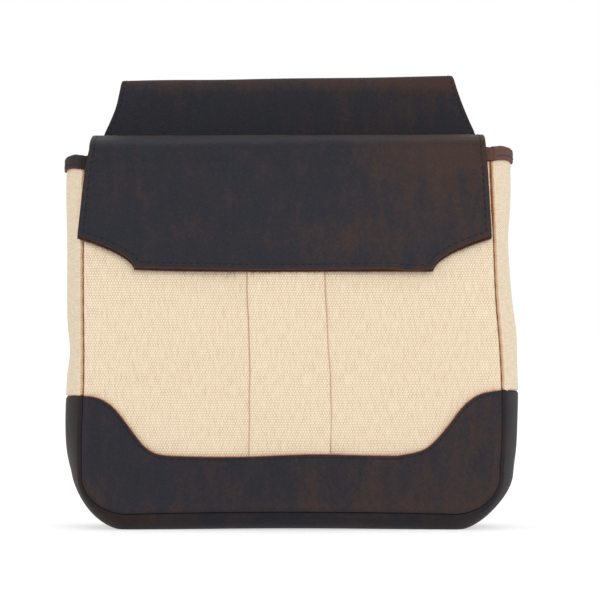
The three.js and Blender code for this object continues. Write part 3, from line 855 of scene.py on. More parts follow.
def thread_finish(name, dark, light):
    """Twisted thread: fine diagonal bands of two tones."""
    thread = Finish(name)
    spot = thread.place((1000, 1000, 1000), (0.6, 0.4, 0.7))
    twist = thread.node(
        "ShaderNodeTexWave", {"bands_direction": "DIAGONAL"}, Vector=spot, Scale=0.9, Distortion=1.5
    )
    colour = thread.mix(twist, dark, light)
    normal = thread.bump(twist, 0.00008, 0.8)
    return thread.surface(colour, 0.85, normal, Specular_IOR_Level=0.1)


def floor_finish():
    """A pale studio floor with a faint unevenness of tone."""
    ground = Finish("pale_floor")
    tone = ground.noise(ground.place((4, 4, 4)), 1.0, 2.0)
    colour = ground.mix(tone, (0.49, 0.49, 0.49), (0.51, 0.51, 0.51))
    return ground.surface(
        colour, 0.9, Specular_IOR_Level=0.1, Emission_Color=(1, 1, 1, 1), Emission_Strength=0.56
    )


canvas = canvas_finish()
leather = leather_finish()
suede = suede_finish()
tape = tape_finish()
black_thread = thread_finish("black_thread", (0.009, 0.008, 0.009), (0.026, 0.021, 0.021))
rust_thread = thread_finish("rust_thread", (0.16, 0.05, 0.02), (0.34, 0.13, 0.05))


def warm_of(x, z):
    """Where the leather is browner: in a few wide clouds, less in the middle, more
    towards the bottom, and more to the right, which is a painted warm reflection."""
    # painted warm reflection, growing to the right
    right = ease(x, -20, 95) * 0.34
    cloud = 0.3 * hump(x, 78, 34) * hump(z, 190, 16) + 0.2 * hump(x, 20, 40) * hump(z, 158, 9)
    low = 0.2 * (1 - ease(z, 10, 90))
    return 0.06 + right + cloud + low


def outline_of_panel(step=0.8):
    """The panels' outline as seen from the front, from the top of the left seam
    down, along the bottom and up to the right, as X and Z."""
    height = np.linspace(MOUTH_HEIGHT, CORNER_TOP, 160)
    turn = np.linspace(0, PI / 2, 40)[1:]
    low = CORNER_TOP - CORNER_HEIGHT * np.sin(turn)
    sides = []
    for side in (-1, 1):
        middle = seam_reach(side, CORNER_TOP) - CORNER_WIDTH
        upper = np.stack([side * seam_reach(side, height), height], -1)
        corner = np.stack([side * (middle + CORNER_WIDTH * np.cos(turn)), low], -1)
        sides.append(np.concatenate([upper, corner]))
    line = resample(np.concatenate([sides[0], sides[1][::-1]]), step)
    line[:, 1] += foot_bow(line[:, 0]) * (line[:, 1] < PANEL_FOOT + 1)
    return line


OUTLINE = outline_of_panel()


def panel_grid(columns, rows, closer=()):
    """X and Z of a panel: columns from seam to seam, close at both and where asked,
    and rows from the bottom seam to the mouth, close round the lower corners."""
    across = np.union1d(spaced(0, 1, SEAM_ROLL / PANEL_WIDTH, columns), closer)[None, :]
    corner = CORNER_TOP - CORNER_HEIGHT * np.cos(np.linspace(0, PI / 2, 13))
    upper = np.linspace(0, 1, rows + 1)[1:]
    top = mouth_edge(blend(-PANEL_WIDTH, PANEL_WIDTH, across) / 2) - end_drop(across)
    z = np.concatenate(
        [
            np.broadcast_to(corner[:, None], (13, across.size)),
            blend(CORNER_TOP, top, upper[:, None]),
        ]
    )
    x = blend(panel_edge(-1, z), panel_edge(1, z), across)
    return x, z + foot_bow(x) * (1 - ease(z, PANEL_FOOT, PANEL_FOOT + 12))


def front_panel():
    """The front panel: the bowed front face, which turns in to its seams over a
    quarter circle, with a low ridge beside them, puckers and soft unevenness."""
    beside_folds = np.linspace(-3.5, 3.5, 18) + np.array([[-PLEAT_WIDTH / 2], [PLEAT_WIDTH / 2]])
    x, z = panel_grid(150, 110, 0.5 + (beside_folds.ravel() + PLEAT_OFFSET) / PANEL_WIDTH)
    seam = distance_to(np.stack([x, z], -1), OUTLINE)
    ridge = 0.22 * hump(seam, 3.6, 1.8)
    pucker = 0.16 * np.sin(z / 1.35 + waves(x, z, 3, 30, 60)) * hump(seam, 2.5, 4.5)
    soft = 0.55 * waves(x, z, 11, 35, 90) * ease(seam, 0, 25)
    drawn = 0.9 * hump(np.abs(x - pleat_middle(z)), PLEAT_WIDTH / 2, 9)
    face = front_face(x, z) - ridge - pucker - soft - drawn * ease(z, 30, 60)
    sunk = SEAM_SINK * roll(seam, SEAM_ROLL)
    half = CANVAS / 2 * rim(seam, CANVAS / 2)
    half[[0, -1]] = 0
    middle = face + sunk + CANVAS / 2
    left = pleat_edge(-1, z)
    right = pleat_edge(1, z)
    beside = np.where(x < pleat_middle(z), left - x, x - right)
    deep = np.where(x < pleat_middle(z), 0.72, 0.66)
    # painted shade: darker in the seam groove and in the hollow beside each fold of the pleat
    stain = 0.7 * hump(seam, 0.1, 0.4) + deep * hump(beside, 0.0, 0.8)
    facts = {"cloth": np.stack([x, z], -1), "stain": stain}
    outer, inner = points_of(x, middle - half, z), points_of(x, middle + half, z)
    made = piece("front_panel_cloth", *skin(outer, inner, facts), canvas, "canvas", ["front_panel"])
    pattern_area(x, z)
    return made


def fold_shift(side, z):
    """How far a fold of the pleat strays from its straight place."""
    right = blend(1.1, -1.2, np.clip((z - 45) / 97, 0, 1))
    stray = 0.22 * np.sin(z / 11.0 + 2 * side) + 0.12 * np.sin(z / 4.3)
    return np.where(side < 0, 0.4 * ease(z, 112, 140) - 0.15, right - 0.2) + stray


def pleat_edge(side, z):
    """X of a folded edge of the pleat."""
    return pleat_middle(z) + side * PLEAT_WIDTH / 2 + fold_shift(side, z)


def front_pleat():
    """The box pleat: a band two plies thick whose folded edges are half rounds,
    laid on the front face. A low ridge and a hollow run beside each fold, and its
    foot is pressed flat under the leather."""
    foot = BASE_HOLLOW - PLEAT_TUCK
    top = MOUTH_HEIGHT - TAPE_WIDTH - TAPE - 2 * GAP
    share = spaced(0, 1, 0.03, 64, 8)[None, :]
    z = np.linspace(foot, top, 110)[:, None]
    left = pleat_edge(-1, z)
    right = pleat_edge(1, z)
    x = blend(left, right, share)
    fold = np.minimum(x - left, right - x)
    thick = blend(PLEAT_PRESSED, PLEAT_RISE, ease(z, BASE_HOLLOW, BASE_HOLLOW + 30)) / 2
    half = (thick - 0.08) * rim(fold, thick)
    half[[0, -1]] = 0
    soft = 0.35 * waves(x, z, 21, 25, 70) * ease(fold, 0, 8)
    puff = 0.15 * hump(fold, 2.8, 1.8) - 0.15 * hump(fold, 6.5, 3)
    middle = front_face(x, z) - GAP - thick - 0.08
    arc = np.where(share < 0.5, fold, right - left - fold)
    # painted shade along the pleat's folded edges
    stain = 0.3 * hump(fold, 0.0, 0.5)
    facts = {"cloth": np.stack(np.broadcast_arrays(arc, z), -1), "stain": stain}
    outer = points_of(x, middle - half - (soft + puff) * (fold > 0), z)
    inner = points_of(x, middle + half, z)
    made = piece("pleat_cloth", *skin(outer, inner, facts), canvas, "canvas", ["front_pleat"])
    return made


def back_panel():
    """The back panel: flat, with a soft hollow, turned in to its seams."""
    x, z = panel_grid(96, 80)
    seam = distance_to(np.stack([x, z], -1), OUTLINE)
    soft = 0.3 * waves(x, z, 31, 40, 90) * ease(seam, 0, 25)
    outer_y = BACK - 0.35 + soft * 0.6 - SEAM_SINK * roll(seam, SEAM_ROLL)
    half = CANVAS / 2 * rim(seam, CANVAS / 2)
    half[[0, -1]] = 0
    middle = outer_y - CANVAS / 2
    # painted shade in the seam groove
    stain = 0.6 * hump(seam, 0.2, 0.5)
    facts = {"cloth": np.stack([x, z], -1), "stain": stain}
    outer, inner = points_of(x, middle + half, z), points_of(x, middle - half, z)
    made = piece("back_panel_cloth", *skin(outer, inner, facts), canvas, "canvas", ["back_panel"])
    pattern_area(x, z)
    return made


def side_gusset(side):
    """A side gusset: swollen between its seams, its edges turned in, with soft
    upright folds that fade towards the leather. Its foot is a narrower lap tucked
    behind the leather, over whose dipped edge the cloth swells out."""
    name = "left" if side < 0 else "right"
    edge = shoulder(side) + GAP
    share = spaced(0, 1, SEAM_ROLL / 55, 56)[None, :]
    lap = edge - np.array([GAP + GUSSET_LAP, 3, 0.7, 0.3, -0.1])[:, None] + 0 * share
    rows = np.linspace(0, 1, 100)[:, None]
    z = np.concatenate([lap, blend(edge + 0.5, gusset_top(side, share), rows)])
    narrow = LAP_INSET * (1 - ease(z, edge - 0.6, edge))
    above = ease(z, edge - 0.6, edge + 0.5)
    tucked = LAP_TUCK * (1 - above) - LAP_BULGE * above * (1 - ease(z, edge + 20, edge + 70))
    tucked = tucked * np.minimum(1, np.minimum(share, 1 - share) / 0.1)
    share = blend(narrow, 1 - narrow, share)
    z = z - GUSSET_DIP * np.sin(share * PI) * (1 - ease(z, edge, edge + 20))
    y = gusset_y(z, share)
    seam = np.minimum(y - front_seam(z), BACK - y)
    folds = 0.5 * waves(y, z * 0.35, 41 + side, 14, 40) * ease(z, edge, edge + 50)
    soft = (folds + 0.35 * waves(y, z, 43 + side, 30, 70)) * ease(seam, 0, 14)
    pucker = 0.14 * np.sin(z / 1.3) * hump(seam, 2.5, 4)
    sunk = SEAM_SINK * 0.8 * roll(seam, SEAM_ROLL) * (narrow < 0.01)
    base = seam_reach(side, z) + gusset_reach(side, z, share)
    half = CANVAS / 2 * rim(seam, CANVAS / 2)
    half[[0, -1]] = 0
    middle = base + CANVAS / 2 + soft + pucker - sunk - tucked
    arc = np.broadcast_to(share * 66 + 200 * side, z.shape)
    # painted shade in the seam grooves
    facts = {"cloth": np.stack([z, arc], -1), "stain": 0.7 * hump(seam, 0.1, 0.4)}
    outer = points_of(side * (middle + half), y, z)
    inner = points_of(side * (middle - half), y, z)
    made = piece(
        f"gusset_{name}_cloth", *skin(outer, inner, facts), canvas, "canvas", [f"gusset_{name}"]
    )
    return made


def base_height(x, z):
    """Y of the base leather's inner face over the front panel."""
    return front_face(x, z) - GAP - pleat_lift(x, z)


def front_base():
    """The leather over the foot of the front: its upper edge is cut to the ogee and
    rounded, and its other edges turn in to the seam."""
    reach = seam_reach(1, BASE_HOLLOW)
    share = spaced(-1, 1, CORNER_WIDTH / reach, 170, 26)[None, :]
    side = np.where(share < 0, -1, 1)
    low = panel_foot(np.abs(share) * seam_reach(side, CORNER_TOP), side)
    low = low + foot_bow(share * seam_reach(side, CORNER_TOP))
    high = base_edge(share * seam_reach(side, BASE_SHOULDER))
    rows = spaced(0, 1, 0.03, 56, 6)[:, None]
    z = blend(low, high, rows)
    x = share * seam_reach(side, z)
    flat = np.stack([x, z], -1)
    ogee = np.stack([x[-1], z[-1]], -1)
    seam = distance_to(flat, OUTLINE)
    inset = distance_to(flat, ogee)
    line = np.abs(inset - BASE_STITCH_INSET)
    soft = 0.3 * waves(x, z, 51, 25, 70) * ease(seam, 0, 14)
    ridge = 0.3 * hump(seam, 3.6, 2.0)
    sunk = LEATHER_SINK * roll(seam, LEATHER_ROLL)
    half = LEATHER / 2 * rim(inset, LEATHER / 2, 4) * rim(seam, LEATHER / 2)
    close(half)
    middle = base_height(x, z) - LEATHER / 2 - soft - ridge + sunk
    facts = {
        "cloth": flat,
        "inset": inset + 3 * (z < high - 20),
        "line": np.minimum(line, 4),
        # painted highlight: browner on the rolled ridge beside the seam
        "warm": warm_of(x, z) + 0.2 * hump(seam, 2.6, 1.8) - 0.06,
        "raw": 1.0 + 0 * x,
    }
    outer, inner = points_of(x, middle - half, z), points_of(x, middle + half, z)
    made = piece("base_leather", *skin(outer, inner, facts), leather, "leather", ["front_base"])
    pattern_area(x, z)
    run = inset_line(ogee[::-1], BASE_STITCH_INSET)
    run = run[distance_to(run, OUTLINE) > 2.5]
    y = base_height(run[:, 0], run[:, 1]) - LEATHER - 0.3 * waves(run[:, 0], run[:, 1], 51, 25, 70)
    points = np.stack([run[:, 0], y, run[:, 1]], -1)
    out = np.broadcast_to([0.0, -1.0, 0.0], points.shape)
    stitches = thread_row(points, out, 3.3, 2.2, 0.2)
    piece("base_stitches", *stitches, {}, black_thread, "leather")
    return made


def base_gusset():
    """The leather strip round the sides and the bottom: swollen between its seams,
    lifted over the canvas gussets' ends, drawn in at its lower side corners and
    flat where it stands."""
    turn = np.linspace(0, 1, 41)[1:]
    rise = np.linspace(0, 1, 34)
    stations = []
    for side in (-1, 1):
        top, middle = shoulder(side), seam_reach(side, CORNER_TOP) - CORNER_WIDTH
        z = blend(top, CORNER_TOP, rise)
        upper = np.stack(
            [side * seam_reach(side, z), z, side + 0 * z, 0 * z, 0 * z, side + 0 * z], -1
        )
        across, down = np.cos(turn * PI / 2), np.sin(turn * PI / 2)
        length = np.hypot(across / CORNER_WIDTH, down / CORNER_HEIGHT)
        corner = np.stack(
            [
                side * (middle + CORNER_WIDTH * across),
                CORNER_TOP - CORNER_HEIGHT * down,
                side * across / CORNER_WIDTH / length,
                -down / CORNER_HEIGHT / length,
                turn,
                side + 0 * turn,
            ],
            -1,
        )
        stations.append(np.concatenate([upper, corner]))
    ends = [stations[0][-1, 0], stations[1][-1, 0]]
    bottom = np.linspace(*ends, 60)[1:-1]
    zero = 0 * bottom
    height = PANEL_FOOT + foot_bow(bottom)
    flat_part = np.stack([bottom, height, zero, zero - 1, zero + 1, zero + 1], -1)
    row = np.concatenate([stations[0], flat_part, stations[1][::-1]])
    x, z, out_x, out_z, turned, side = (column[:, None] for column in row.T)
    share = spaced(0, 1, LEATHER_ROLL / POUCH_DEPTH, 64, 7)[None, :]
    y = gusset_y(z, share)
    lap_top = shoulder(side) - GUSSET_LAP
    from_seam = np.minimum(1, np.minimum(share, 1 - share) / LAP_INSET)
    lift = (CANVAS + GAP - LAP_TUCK) * from_seam * ease(z, lap_top - LAP_EASE, lap_top - GAP)
    side_swell = bulge_share(side, z / MOUTH_HEIGHT) * SIDE_BULGE * swell(share, SIDE_POWER)
    base_swell = BASE_BULGE * swell(share, BASE_POWER)
    pinch = 1 - CORNER_PINCH * np.sin(turned * PI) ** 2
    swelling = pinch * blend(side_swell, base_swell, ease(turned, 0, 1))
    slack = np.where(side < 0, SLACK_LEFT * hump(z, 25, 11), SLACK_RIGHT * hump(z, 22, 13))
    slack = slack * (1 - ease(turned, 0.35, 0.95))
    swelling = swelling - slack * swell(share, SIDE_POWER)
    seam = np.minimum(y - front_seam(z), BACK - y)
    run = run_of(row[:, :2])[:, None]
    soft = 0.35 * waves(y, run, 61, 22, 60) * ease(seam, 0, 12) * (1 - ease(turned, 0.5, 1))
    sunk = LEATHER_SINK * 0.7 * roll(seam, LEATHER_ROLL)
    end = np.minimum(run, run[-1] - run)
    half = LEATHER / 2 * rim(seam, LEATHER / 2) * rim(end, LEATHER / 2, 4)
    close(half)
    dip = GUSSET_DIP * np.sin(share * PI) * ease(z, lap_top, shoulder(side))

    def face(offset):
        reach = GAP + lift + swelling + soft - sunk + LEATHER / 2 + offset
        height = np.maximum(LEATHER / 2 - offset, z - dip + out_z * reach)
        return points_of(x + out_x * reach, y, height)

    outer, inner = face(half), face(-half)
    facts = {
        "cloth": np.stack(np.broadcast_arrays(run, share * POUCH_DEPTH), -1),
        "inset": end + 0 * share,
        "line": 4.0 + 0 * y,
        "warm": 0.2 + 0.25 * waves(run, y, 63, 15, 50) + 0.35 * (1 - ease(x, -90, -40)) + 0 * y,
        "raw": 0.8 + 0 * y,
        # painted shade: the strip made darker, more on the left
        "dim": 0.28 + 0.2 * (1 - ease(x, -95, -70)) + 0 * y,
    }
    made = piece(
        "base_gusset_leather", *skin(outer, inner, facts), leather, "leather", ["base_gusset"]
    )
    return made


def seam_cords():
    """The line of each seam: rust thread where canvas meets canvas and black waxed
    cord where leather meets leather, lying in the groove, at the front and back."""
    height = OUTLINE[:, 1]
    side = np.where(OUTLINE[:, 0] < 0, -1, 1)
    leather_part = height < shoulder(side)
    back_y = BACK + 0 * height
    rust, black = [], []
    for y, way in ((front_seam(height), -1), (back_y, 1)):
        for one in (-1, 1):
            part = (~leather_part) & (side == one) & (height < mouth_edge(OUTLINE[:, 0]) - 3)
            x = OUTLINE[part, 0] + one * 0.25
            line = np.stack([x, y[part] - way * 0.4, height[part]], -1)
            wide = 0.2 + 0.06 * np.sin(height[part] / 1.7)
            if one > 0 and way < 0:
                wide = wide + 0.5 * ease(height[part], 158, 172)
            rust.append(tube(line, wide))
        part = leather_part
        line = np.stack([OUTLINE[part, 0] * 1.002, y[part] - way * 1.0, height[part] - 0.2], -1)
        black.append(tube(line, 0.5))
    for name, parts, finish, slot in (
        ("canvas_seam_cord", rust, rust_thread, "tape"),
        ("leather_seam_cord", black, black_thread, "leather"),
    ):
        made = []
        for points, quads, tips in parts:
            made.append((points, np.concatenate([quads, tips[:, [0, 1, 2, 2]]])))
        points, faces = gather(made)
        piece(name, points, faces, {}, finish, slot)


def catmull_rom(knots, samples=60):
    """A centripetal Catmull-Rom curve through knots: cubic pieces whose slopes come
    from the knots' distances to the power 0.5. Gives points at even arc length as a
    function of the share of the length, its direction, and the length."""
    ends = [2 * knots[0] - knots[1]], [2 * knots[-1] - knots[-2]]
    all_knots = np.concatenate([ends[0], knots, ends[1]])
    gap = np.sqrt(np.linalg.norm(np.diff(all_knots, axis=0), axis=-1))[:, None]
    a, b, c, d = (all_knots[k : len(all_knots) - 3 + k] for k in range(4))
    first, middle, last = gap[:-2], gap[1:-1], gap[2:]
    start = ((b - a) / first - (c - a) / (first + middle) + (c - b) / middle) * middle
    end = ((c - b) / middle - (d - b) / (middle + last) + (d - c) / last) * middle
    t = np.linspace(0, 1, samples, endpoint=False)[None, :, None]
    b, c, start, end = (value[:, None] for value in (b, c, start, end))
    square, cube = t * t, t * t * t
    points = b + start * t + (3 * (c - b) - 2 * start - end) * square
    points = (points + (2 * (b - c) + start + end) * cube).reshape(-1, knots.shape[1])
    points = np.concatenate([points, knots[-1:]])
    run = run_of(points)
    way = np.gradient(points, run, axis=0)
    way = unit(way)

    def at(share):
        wanted = share * run[-1]
        place = [np.interp(wanted, run, column) for column in points.T]
        facing = [np.interp(wanted, run, column) for column in way.T]
        return np.stack(place, -1), np.stack(facing, -1)

    return at, run[-1]


def flap_front(z):
    """Y of the flap's inner face where it hangs in front of the pleat."""
    pleat = front_face(pleat_middle(z), z) - GAP - PLEAT_RISE
    return pleat - FLAP_STANDOFF - LINING - GAP


def flap_section(side):
    """The flap's section at one side: up behind the back panel, forward over the
    mouth and down in front of the pleat, as Y and Z."""
    tilt = side * MOUTH_RISE / 2
    behind = BACK + GAP
    bend = MOUTH_HEIGHT - TAPE_WIDTH
    tab = MOUTH_HEIGHT + tilt - np.linspace(FLAP_TAB, TAPE, 4)
    roof_z = MOUTH_HEIGHT + TAPE + GAP + FLAP_RISE * FLAP_ROOF[:, 1] + tilt * FLAP_ROOF[:, 2]
    roof_y = blend(flap_front(bend), behind, FLAP_ROOF[:, 0])
    drop = np.linspace(bend, FLAP_HEM - LINING_SHOW, 7)
    y = np.concatenate([0 * tab + behind, roof_y, flap_front(drop)])
    return np.stack([y, np.concatenate([tab, roof_z, drop])], -1)


FLAP_LEFT, FLAP_LENGTH = catmull_rom(flap_section(-1))
FLAP_RIGHT, _ = catmull_rom(flap_section(1))
FLAP_HALF = (FLAP_WIDTH + FLAP_FLARE) / 2


def flap_point(across, along, out):
    """A point of the flap: across from -1 to 1, along its section as a share, and
    out from its inner face. It widens as the share hanging to FLARE_POWER, and its
    sides are set back as the square of across."""
    across, along, out = np.broadcast_arrays(across, along, out)
    (left, left_way), (right, right_way) = FLAP_LEFT(along), FLAP_RIGHT(along)
    k = ((across + 1) / 2)[..., None]
    way = blend(left_way, right_way, k)
    way = unit(way)
    spot = blend(left, right, k)
    y, z = spot[..., 0], spot[..., 1]
    hang = np.clip((MOUTH_HEIGHT - z) / (MOUTH_HEIGHT - FLAP_HEM), 0, 1) * (y < 0)
    flare = hang**FLARE_POWER
    crest = np.where(y > 0, 1, ease(z, MOUTH_HEIGHT + 1, MOUTH_HEIGHT + 7))
    half = (FLAP_WIDTH - FLAP_TRIM + FLAP_FLARE * flare) / 2 - FLAP_TAPER * crest
    setback = FLAP_SETBACK * across**2 * ease(hang, 0, 0.6)
    return points_of(
        panel_middle(MOUTH_HEIGHT) + FLAP_SKEW * flare + across * half,
        y + setback + way[..., 1] * out,
        z - way[..., 0] * out,
    )


def flap_along(across, z):
    """Share of the section down to a height on the flap's front, by halving."""
    above, below = 0.5 + 0 * (across + z), 1 + 0 * (across + z)
    for _ in range(26):
        middle = (above + below) / 2
        lower = flap_point(across, middle, 0.0)[..., 2] > z
        above, below = np.where(lower, middle, above), np.where(lower, below, middle)
    return below


def flap_hem(across, show):
    """Height of the lower edge: a sagging hem that dips near the right cut, then
    the concave cut, which climbs as the distance past its start to the power
    CUT_CURVE."""
    beyond = np.abs(across) * FLAP_HALF - (FLAP_HALF - CUT_WIDTH)
    sag = np.minimum(1, np.abs(across) / (1 - CUT_WIDTH / FLAP_HALF)) ** 2
    climb = np.maximum(0, beyond / CUT_WIDTH) ** CUT_CURVE
    uneven = HEM_DROP + HEM_DIP * hump(across * FLAP_HALF, 72, 11)
    return FLAP_HEM + HEM_SAG * sag + CUT_RISE * climb - uneven - show


def flap_wave(across, along):
    """How far the flap strays outwards: soft waves, more towards the hem."""
    x, run = across * FLAP_HALF, along * FLAP_LENGTH
    return 0.35 * waves(x, run, 71, 30, 80) * ease(along, 0.2, 0.6)


def flap_columns(middle_count):
    """Columns of the flap: a round edge at both sides, squares of even steps into
    each cut from its start, and even steps between the cuts."""
    turn = 0.8 * (1 - np.cos(np.linspace(0, PI / 2, 6)))
    cut = CUT_WIDTH - (CUT_WIDTH - 0.8) * np.linspace(0, 1, 30)[:-1] ** 2
    side = 1 - np.concatenate([turn, cut[::-1]]) / FLAP_HALF
    inner = 1 - CUT_WIDTH / FLAP_HALF
    between = np.linspace(-inner, inner, middle_count)[1:-1]
    return np.concatenate([-side, between, side[::-1]])


def flap_border(show, start):
    """The flap's edge in flat coordinates: down the left, along the hem and up the
    right, as across in millimetres and the run of the section."""
    across = flap_columns(200)
    hem = flap_along(across, flap_hem(across, show)) * FLAP_LENGTH
    left = np.array([[-FLAP_HALF, start]])
    right = np.array([[FLAP_HALF, start]])
    return np.concatenate([left, np.stack([across * FLAP_HALF, hem], -1), right])


def flap_sheet(across, along, border, near, far, radius):
    """Outer and inner grids of a sheet of the flap between two offsets, with round
    edges, and each point's distance from its border."""
    flat = np.stack(np.broadcast_arrays(across * FLAP_HALF, along * FLAP_LENGTH), -1)
    inset = distance_to(flat, border)
    start = (along - along.min()) * FLAP_LENGTH
    half = (far - near) / 2 * rim(np.minimum(inset, start), radius, 4)
    close(half)
    middle = (far + near) / 2 + flap_wave(across, along)
    outer = flap_point(across, along, middle + half)
    inner = flap_point(across, along, middle - half)
    return outer, inner, flat, inset


def flap():
    """The leather flap and the stitches round it."""
    across = flap_columns(120)[None, :]
    bend = flap_along(np.zeros(1), MOUTH_HEIGHT - TAPE_WIDTH)[0]
    to = flap_along(across, flap_hem(across, 0.0))
    upper = spaced(0, 1, 0.012, 84, 4)[:-5][:, None]
    upper = upper / upper[-1]
    lower = spaced(0, 1, 0.02, 50, 6)[6:][:, None]
    lower = (lower - lower[0]) / (1 - lower[0])
    along = np.concatenate([upper * bend + 0 * across, blend(bend, to, lower[1:])])
    border = flap_border(0.0, 0.0)
    outer, inner, flat, inset = flap_sheet(across, along, border, 0.0, LEATHER, LEATHER / 2)
    x, z = outer[..., 0], outer[..., 2]
    # painted light: the top roll, which faces up into the light, and the upper right of the front
    # are made browner
    crest = ease(z, 213.5, 216.5) * ease(outer[..., 1], -30, 0)
    wear_and_painted_light = 0.4 * ease(x, 0, 90) * ease(z, 190, 208) + 0.6 * crest
    facts = {
        "cloth": flat,
        "inset": inset,
        "line": np.minimum(np.abs(inset - FLAP_STITCH_INSET), 4),
        # painted highlight: browner along the rounded cut edges
        "warm": warm_of(x, z) + wear_and_painted_light + 0.15 * hump(inset, 0.6, 1.2),
        "raw": 0.08 + 0.2 * (1 - ease(z, FLAP_HEM + 2, FLAP_HEM + 22)),
    }
    made = piece("flap_leather", *skin(outer, inner, facts), leather, "leather", ["flap"])
    run = inset_line(border[::-1], FLAP_STITCH_INSET)
    run = run[run[:, 1] > 0.3 * FLAP_LENGTH]
    a, b = run[:, 0] / FLAP_HALF, run[:, 1] / FLAP_LENGTH
    on = flap_point(a, b, LEATHER + flap_wave(a, b))
    over = flap_point(a, b, LEATHER + flap_wave(a, b) + 1)
    piece("flap_stitches", *thread_row(on, over - on, 3.8, 2.3, 0.19), {}, black_thread, "leather")
    return made


def flap_lining():
    """The rough-side lining under the flap, whose edge shows below the hem."""
    across = flap_columns(100)[None, :]
    bend = flap_along(np.zeros(1), MOUTH_HEIGHT - TAPE_WIDTH)[0]
    to = flap_along(across, flap_hem(across, LINING_SHOW))
    rows = spaced(0, 1, 0.02, 40, 6)[:, None]
    along = blend(bend, to, rows)
    border = flap_border(LINING_SHOW, bend * FLAP_LENGTH)
    near, far = -GAP - LINING, -0.02
    outer, inner, flat, inset = flap_sheet(across, along, border, near, far, LINING / 2)
    facts = {"cloth": flat, "inset": inset}
    made = piece("flap_lining_suede", *skin(outer, inner, facts), suede, "suede", ["flap_lining"])
    return made


def loop_section():
    """The belt loop's section as Y and Z: up from its seam on the back panel, over
    a half round fold, down behind the belt and in to its lower seam."""
    near = BACK + GAP + LEATHER + GAP
    far = near + LEATHER + BELT_ROOM
    radius = (far - near - LEATHER) / 2
    fold = LOOP_HEIGHT - LEATHER - radius
    front = np.linspace(MOUTH_HEIGHT - LOOP_LAP, fold - radius, 5)
    angle = PI * (1 - np.linspace(0, 1, 7))
    seam_top = LOOP_FOOT + LOOP_SEAM
    bend = 2.2 * (far - BACK)
    k = np.linspace(0, 1, 6)[1:]
    y = [
        near + LEATHER + 0 * front,
        near + LEATHER + radius * (1 + np.cos(angle)),
        far + 0 * k,
        blend(far, BACK + GAP, ease(k, 0, 1)),
        np.full(2, BACK + GAP),
    ]
    z = [
        front,
        fold + radius * np.sin(angle),
        blend(fold - radius, seam_top + bend, k),
        blend(seam_top + bend, seam_top, k),
        np.array([(seam_top + LOOP_FOOT) / 2, LOOP_FOOT]),
    ]
    return np.stack([np.concatenate(y), np.concatenate(z)], -1)


LOOP_LINE, LOOP_LENGTH = catmull_rom(loop_section())


def loop_point(across, along, out):
    """A point of the belt loop: across from 0 at the left to 1 at the right, along
    its section as a share, and out from its inner face."""
    across, along, out = np.broadcast_arrays(across, along, out)
    spot, way = LOOP_LINE(along)
    fold = np.linspace(0, 1, 2001)
    fold = fold[LOOP_LINE(fold)[0][:, 1].argmax()]
    drop = np.abs(along - fold) * LOOP_LENGTH / LOOP_FLARE_DROP
    left = LOOP_OFFSET - LOOP_WIDTH / 2 - LOOP_FLARE * loop_share(-1, drop)
    right = LOOP_OFFSET + LOOP_WIDTH / 2 + LOOP_FLARE * loop_share(1, drop)
    tilt = LOOP_TILT * (across - 0.5) * ease(spot[..., 1], MOUTH_HEIGHT, LOOP_HEIGHT)
    return points_of(
        blend(left, right, across),
        spot[..., 0] - way[..., 1] * out,
        spot[..., 1] + tilt + way[..., 0] * out,
    )


def belt_loop():
    """The folded belt loop, its cut edges, and the stitches inside its sides and
    across its foot."""
    wide = LOOP_WIDTH + 2 * LOOP_FLARE
    across = spaced(0, 1, LEATHER / 2 / wide, 90)[None, :]
    along = spaced(0, 1, LEATHER / 2 / LOOP_LENGTH, 170)[:, None]
    mid = loop_point(across, along, LEATHER / 2)
    width = mid[:, -1:, 0] - mid[:, :1, 0]
    side = np.minimum(across, 1 - across) * width
    end = np.minimum(along, 1 - along) * LOOP_LENGTH
    inset = np.minimum(side, end)
    half = LEATHER / 2 * rim(inset, LEATHER / 2, 4)
    close(half)
    run = along * LOOP_LENGTH
    wave = 0.3 * waves(across * width, run, 81, 35, 80)
    outer = loop_point(across, along, LEATHER / 2 + half + wave)
    inner = loop_point(across, along, LEATHER / 2 - half + wave)
    x, z = outer[..., 0], outer[..., 2]
    first, second = (np.abs(end - inward) for inward in LOOP_FOOT_STITCHES)
    foot_rows = np.minimum(first, second) + 9 * (along < 0.5)
    line = np.minimum(np.abs(side - LOOP_STITCH_INSET), foot_rows + 0 * side)
    facts = {
        "cloth": np.stack(np.broadcast_arrays(across * wide, run), -1),
        "inset": inset,
        "line": np.minimum(line, 4),
        # painted light: browner towards the top fold, which faces up into the light, and a painted
        # highlight along the rounded cut edges
        "warm": warm_of(x, z) + 0.75 * ease(z, 238, 250) + 0.1 * hump(inset, 0.4, 1.4) - 0.05,
        "raw": 0.1 + 0 * x,
    }
    made = piece("belt_loop_leather", *skin(outer, inner, facts), leather, "leather", ["belt_loop"])
    length = np.linspace(0.02, 0.98, 700)
    widths = loop_point(1.0, length, 0.0)[:, 0] - loop_point(0.0, length, 0.0)[:, 0]

    def stitches(across, along, width):
        wave = 0.3 * waves(across * width, along * LOOP_LENGTH, 81, 35, 80)
        on = loop_point(across, along, LEATHER + wave)
        over = loop_point(across, along, LEATHER + wave + 1)
        return thread_row(on, over - on, 3.4, 2.2, 0.22)

    rows = [stitches(np.abs(one - LOOP_STITCH_INSET / widths), length, widths) for one in (0, 1)]
    level = np.linspace(0.03, 0.97, 400)
    for inward in LOOP_FOOT_STITCHES:
        rows.append(stitches(level, 1 - inward / LOOP_LENGTH + 0 * level, widths[-1]))
    points, faces = gather(rows)
    piece("loop_stitches", points, faces, {}, black_thread, "leather")
    return made


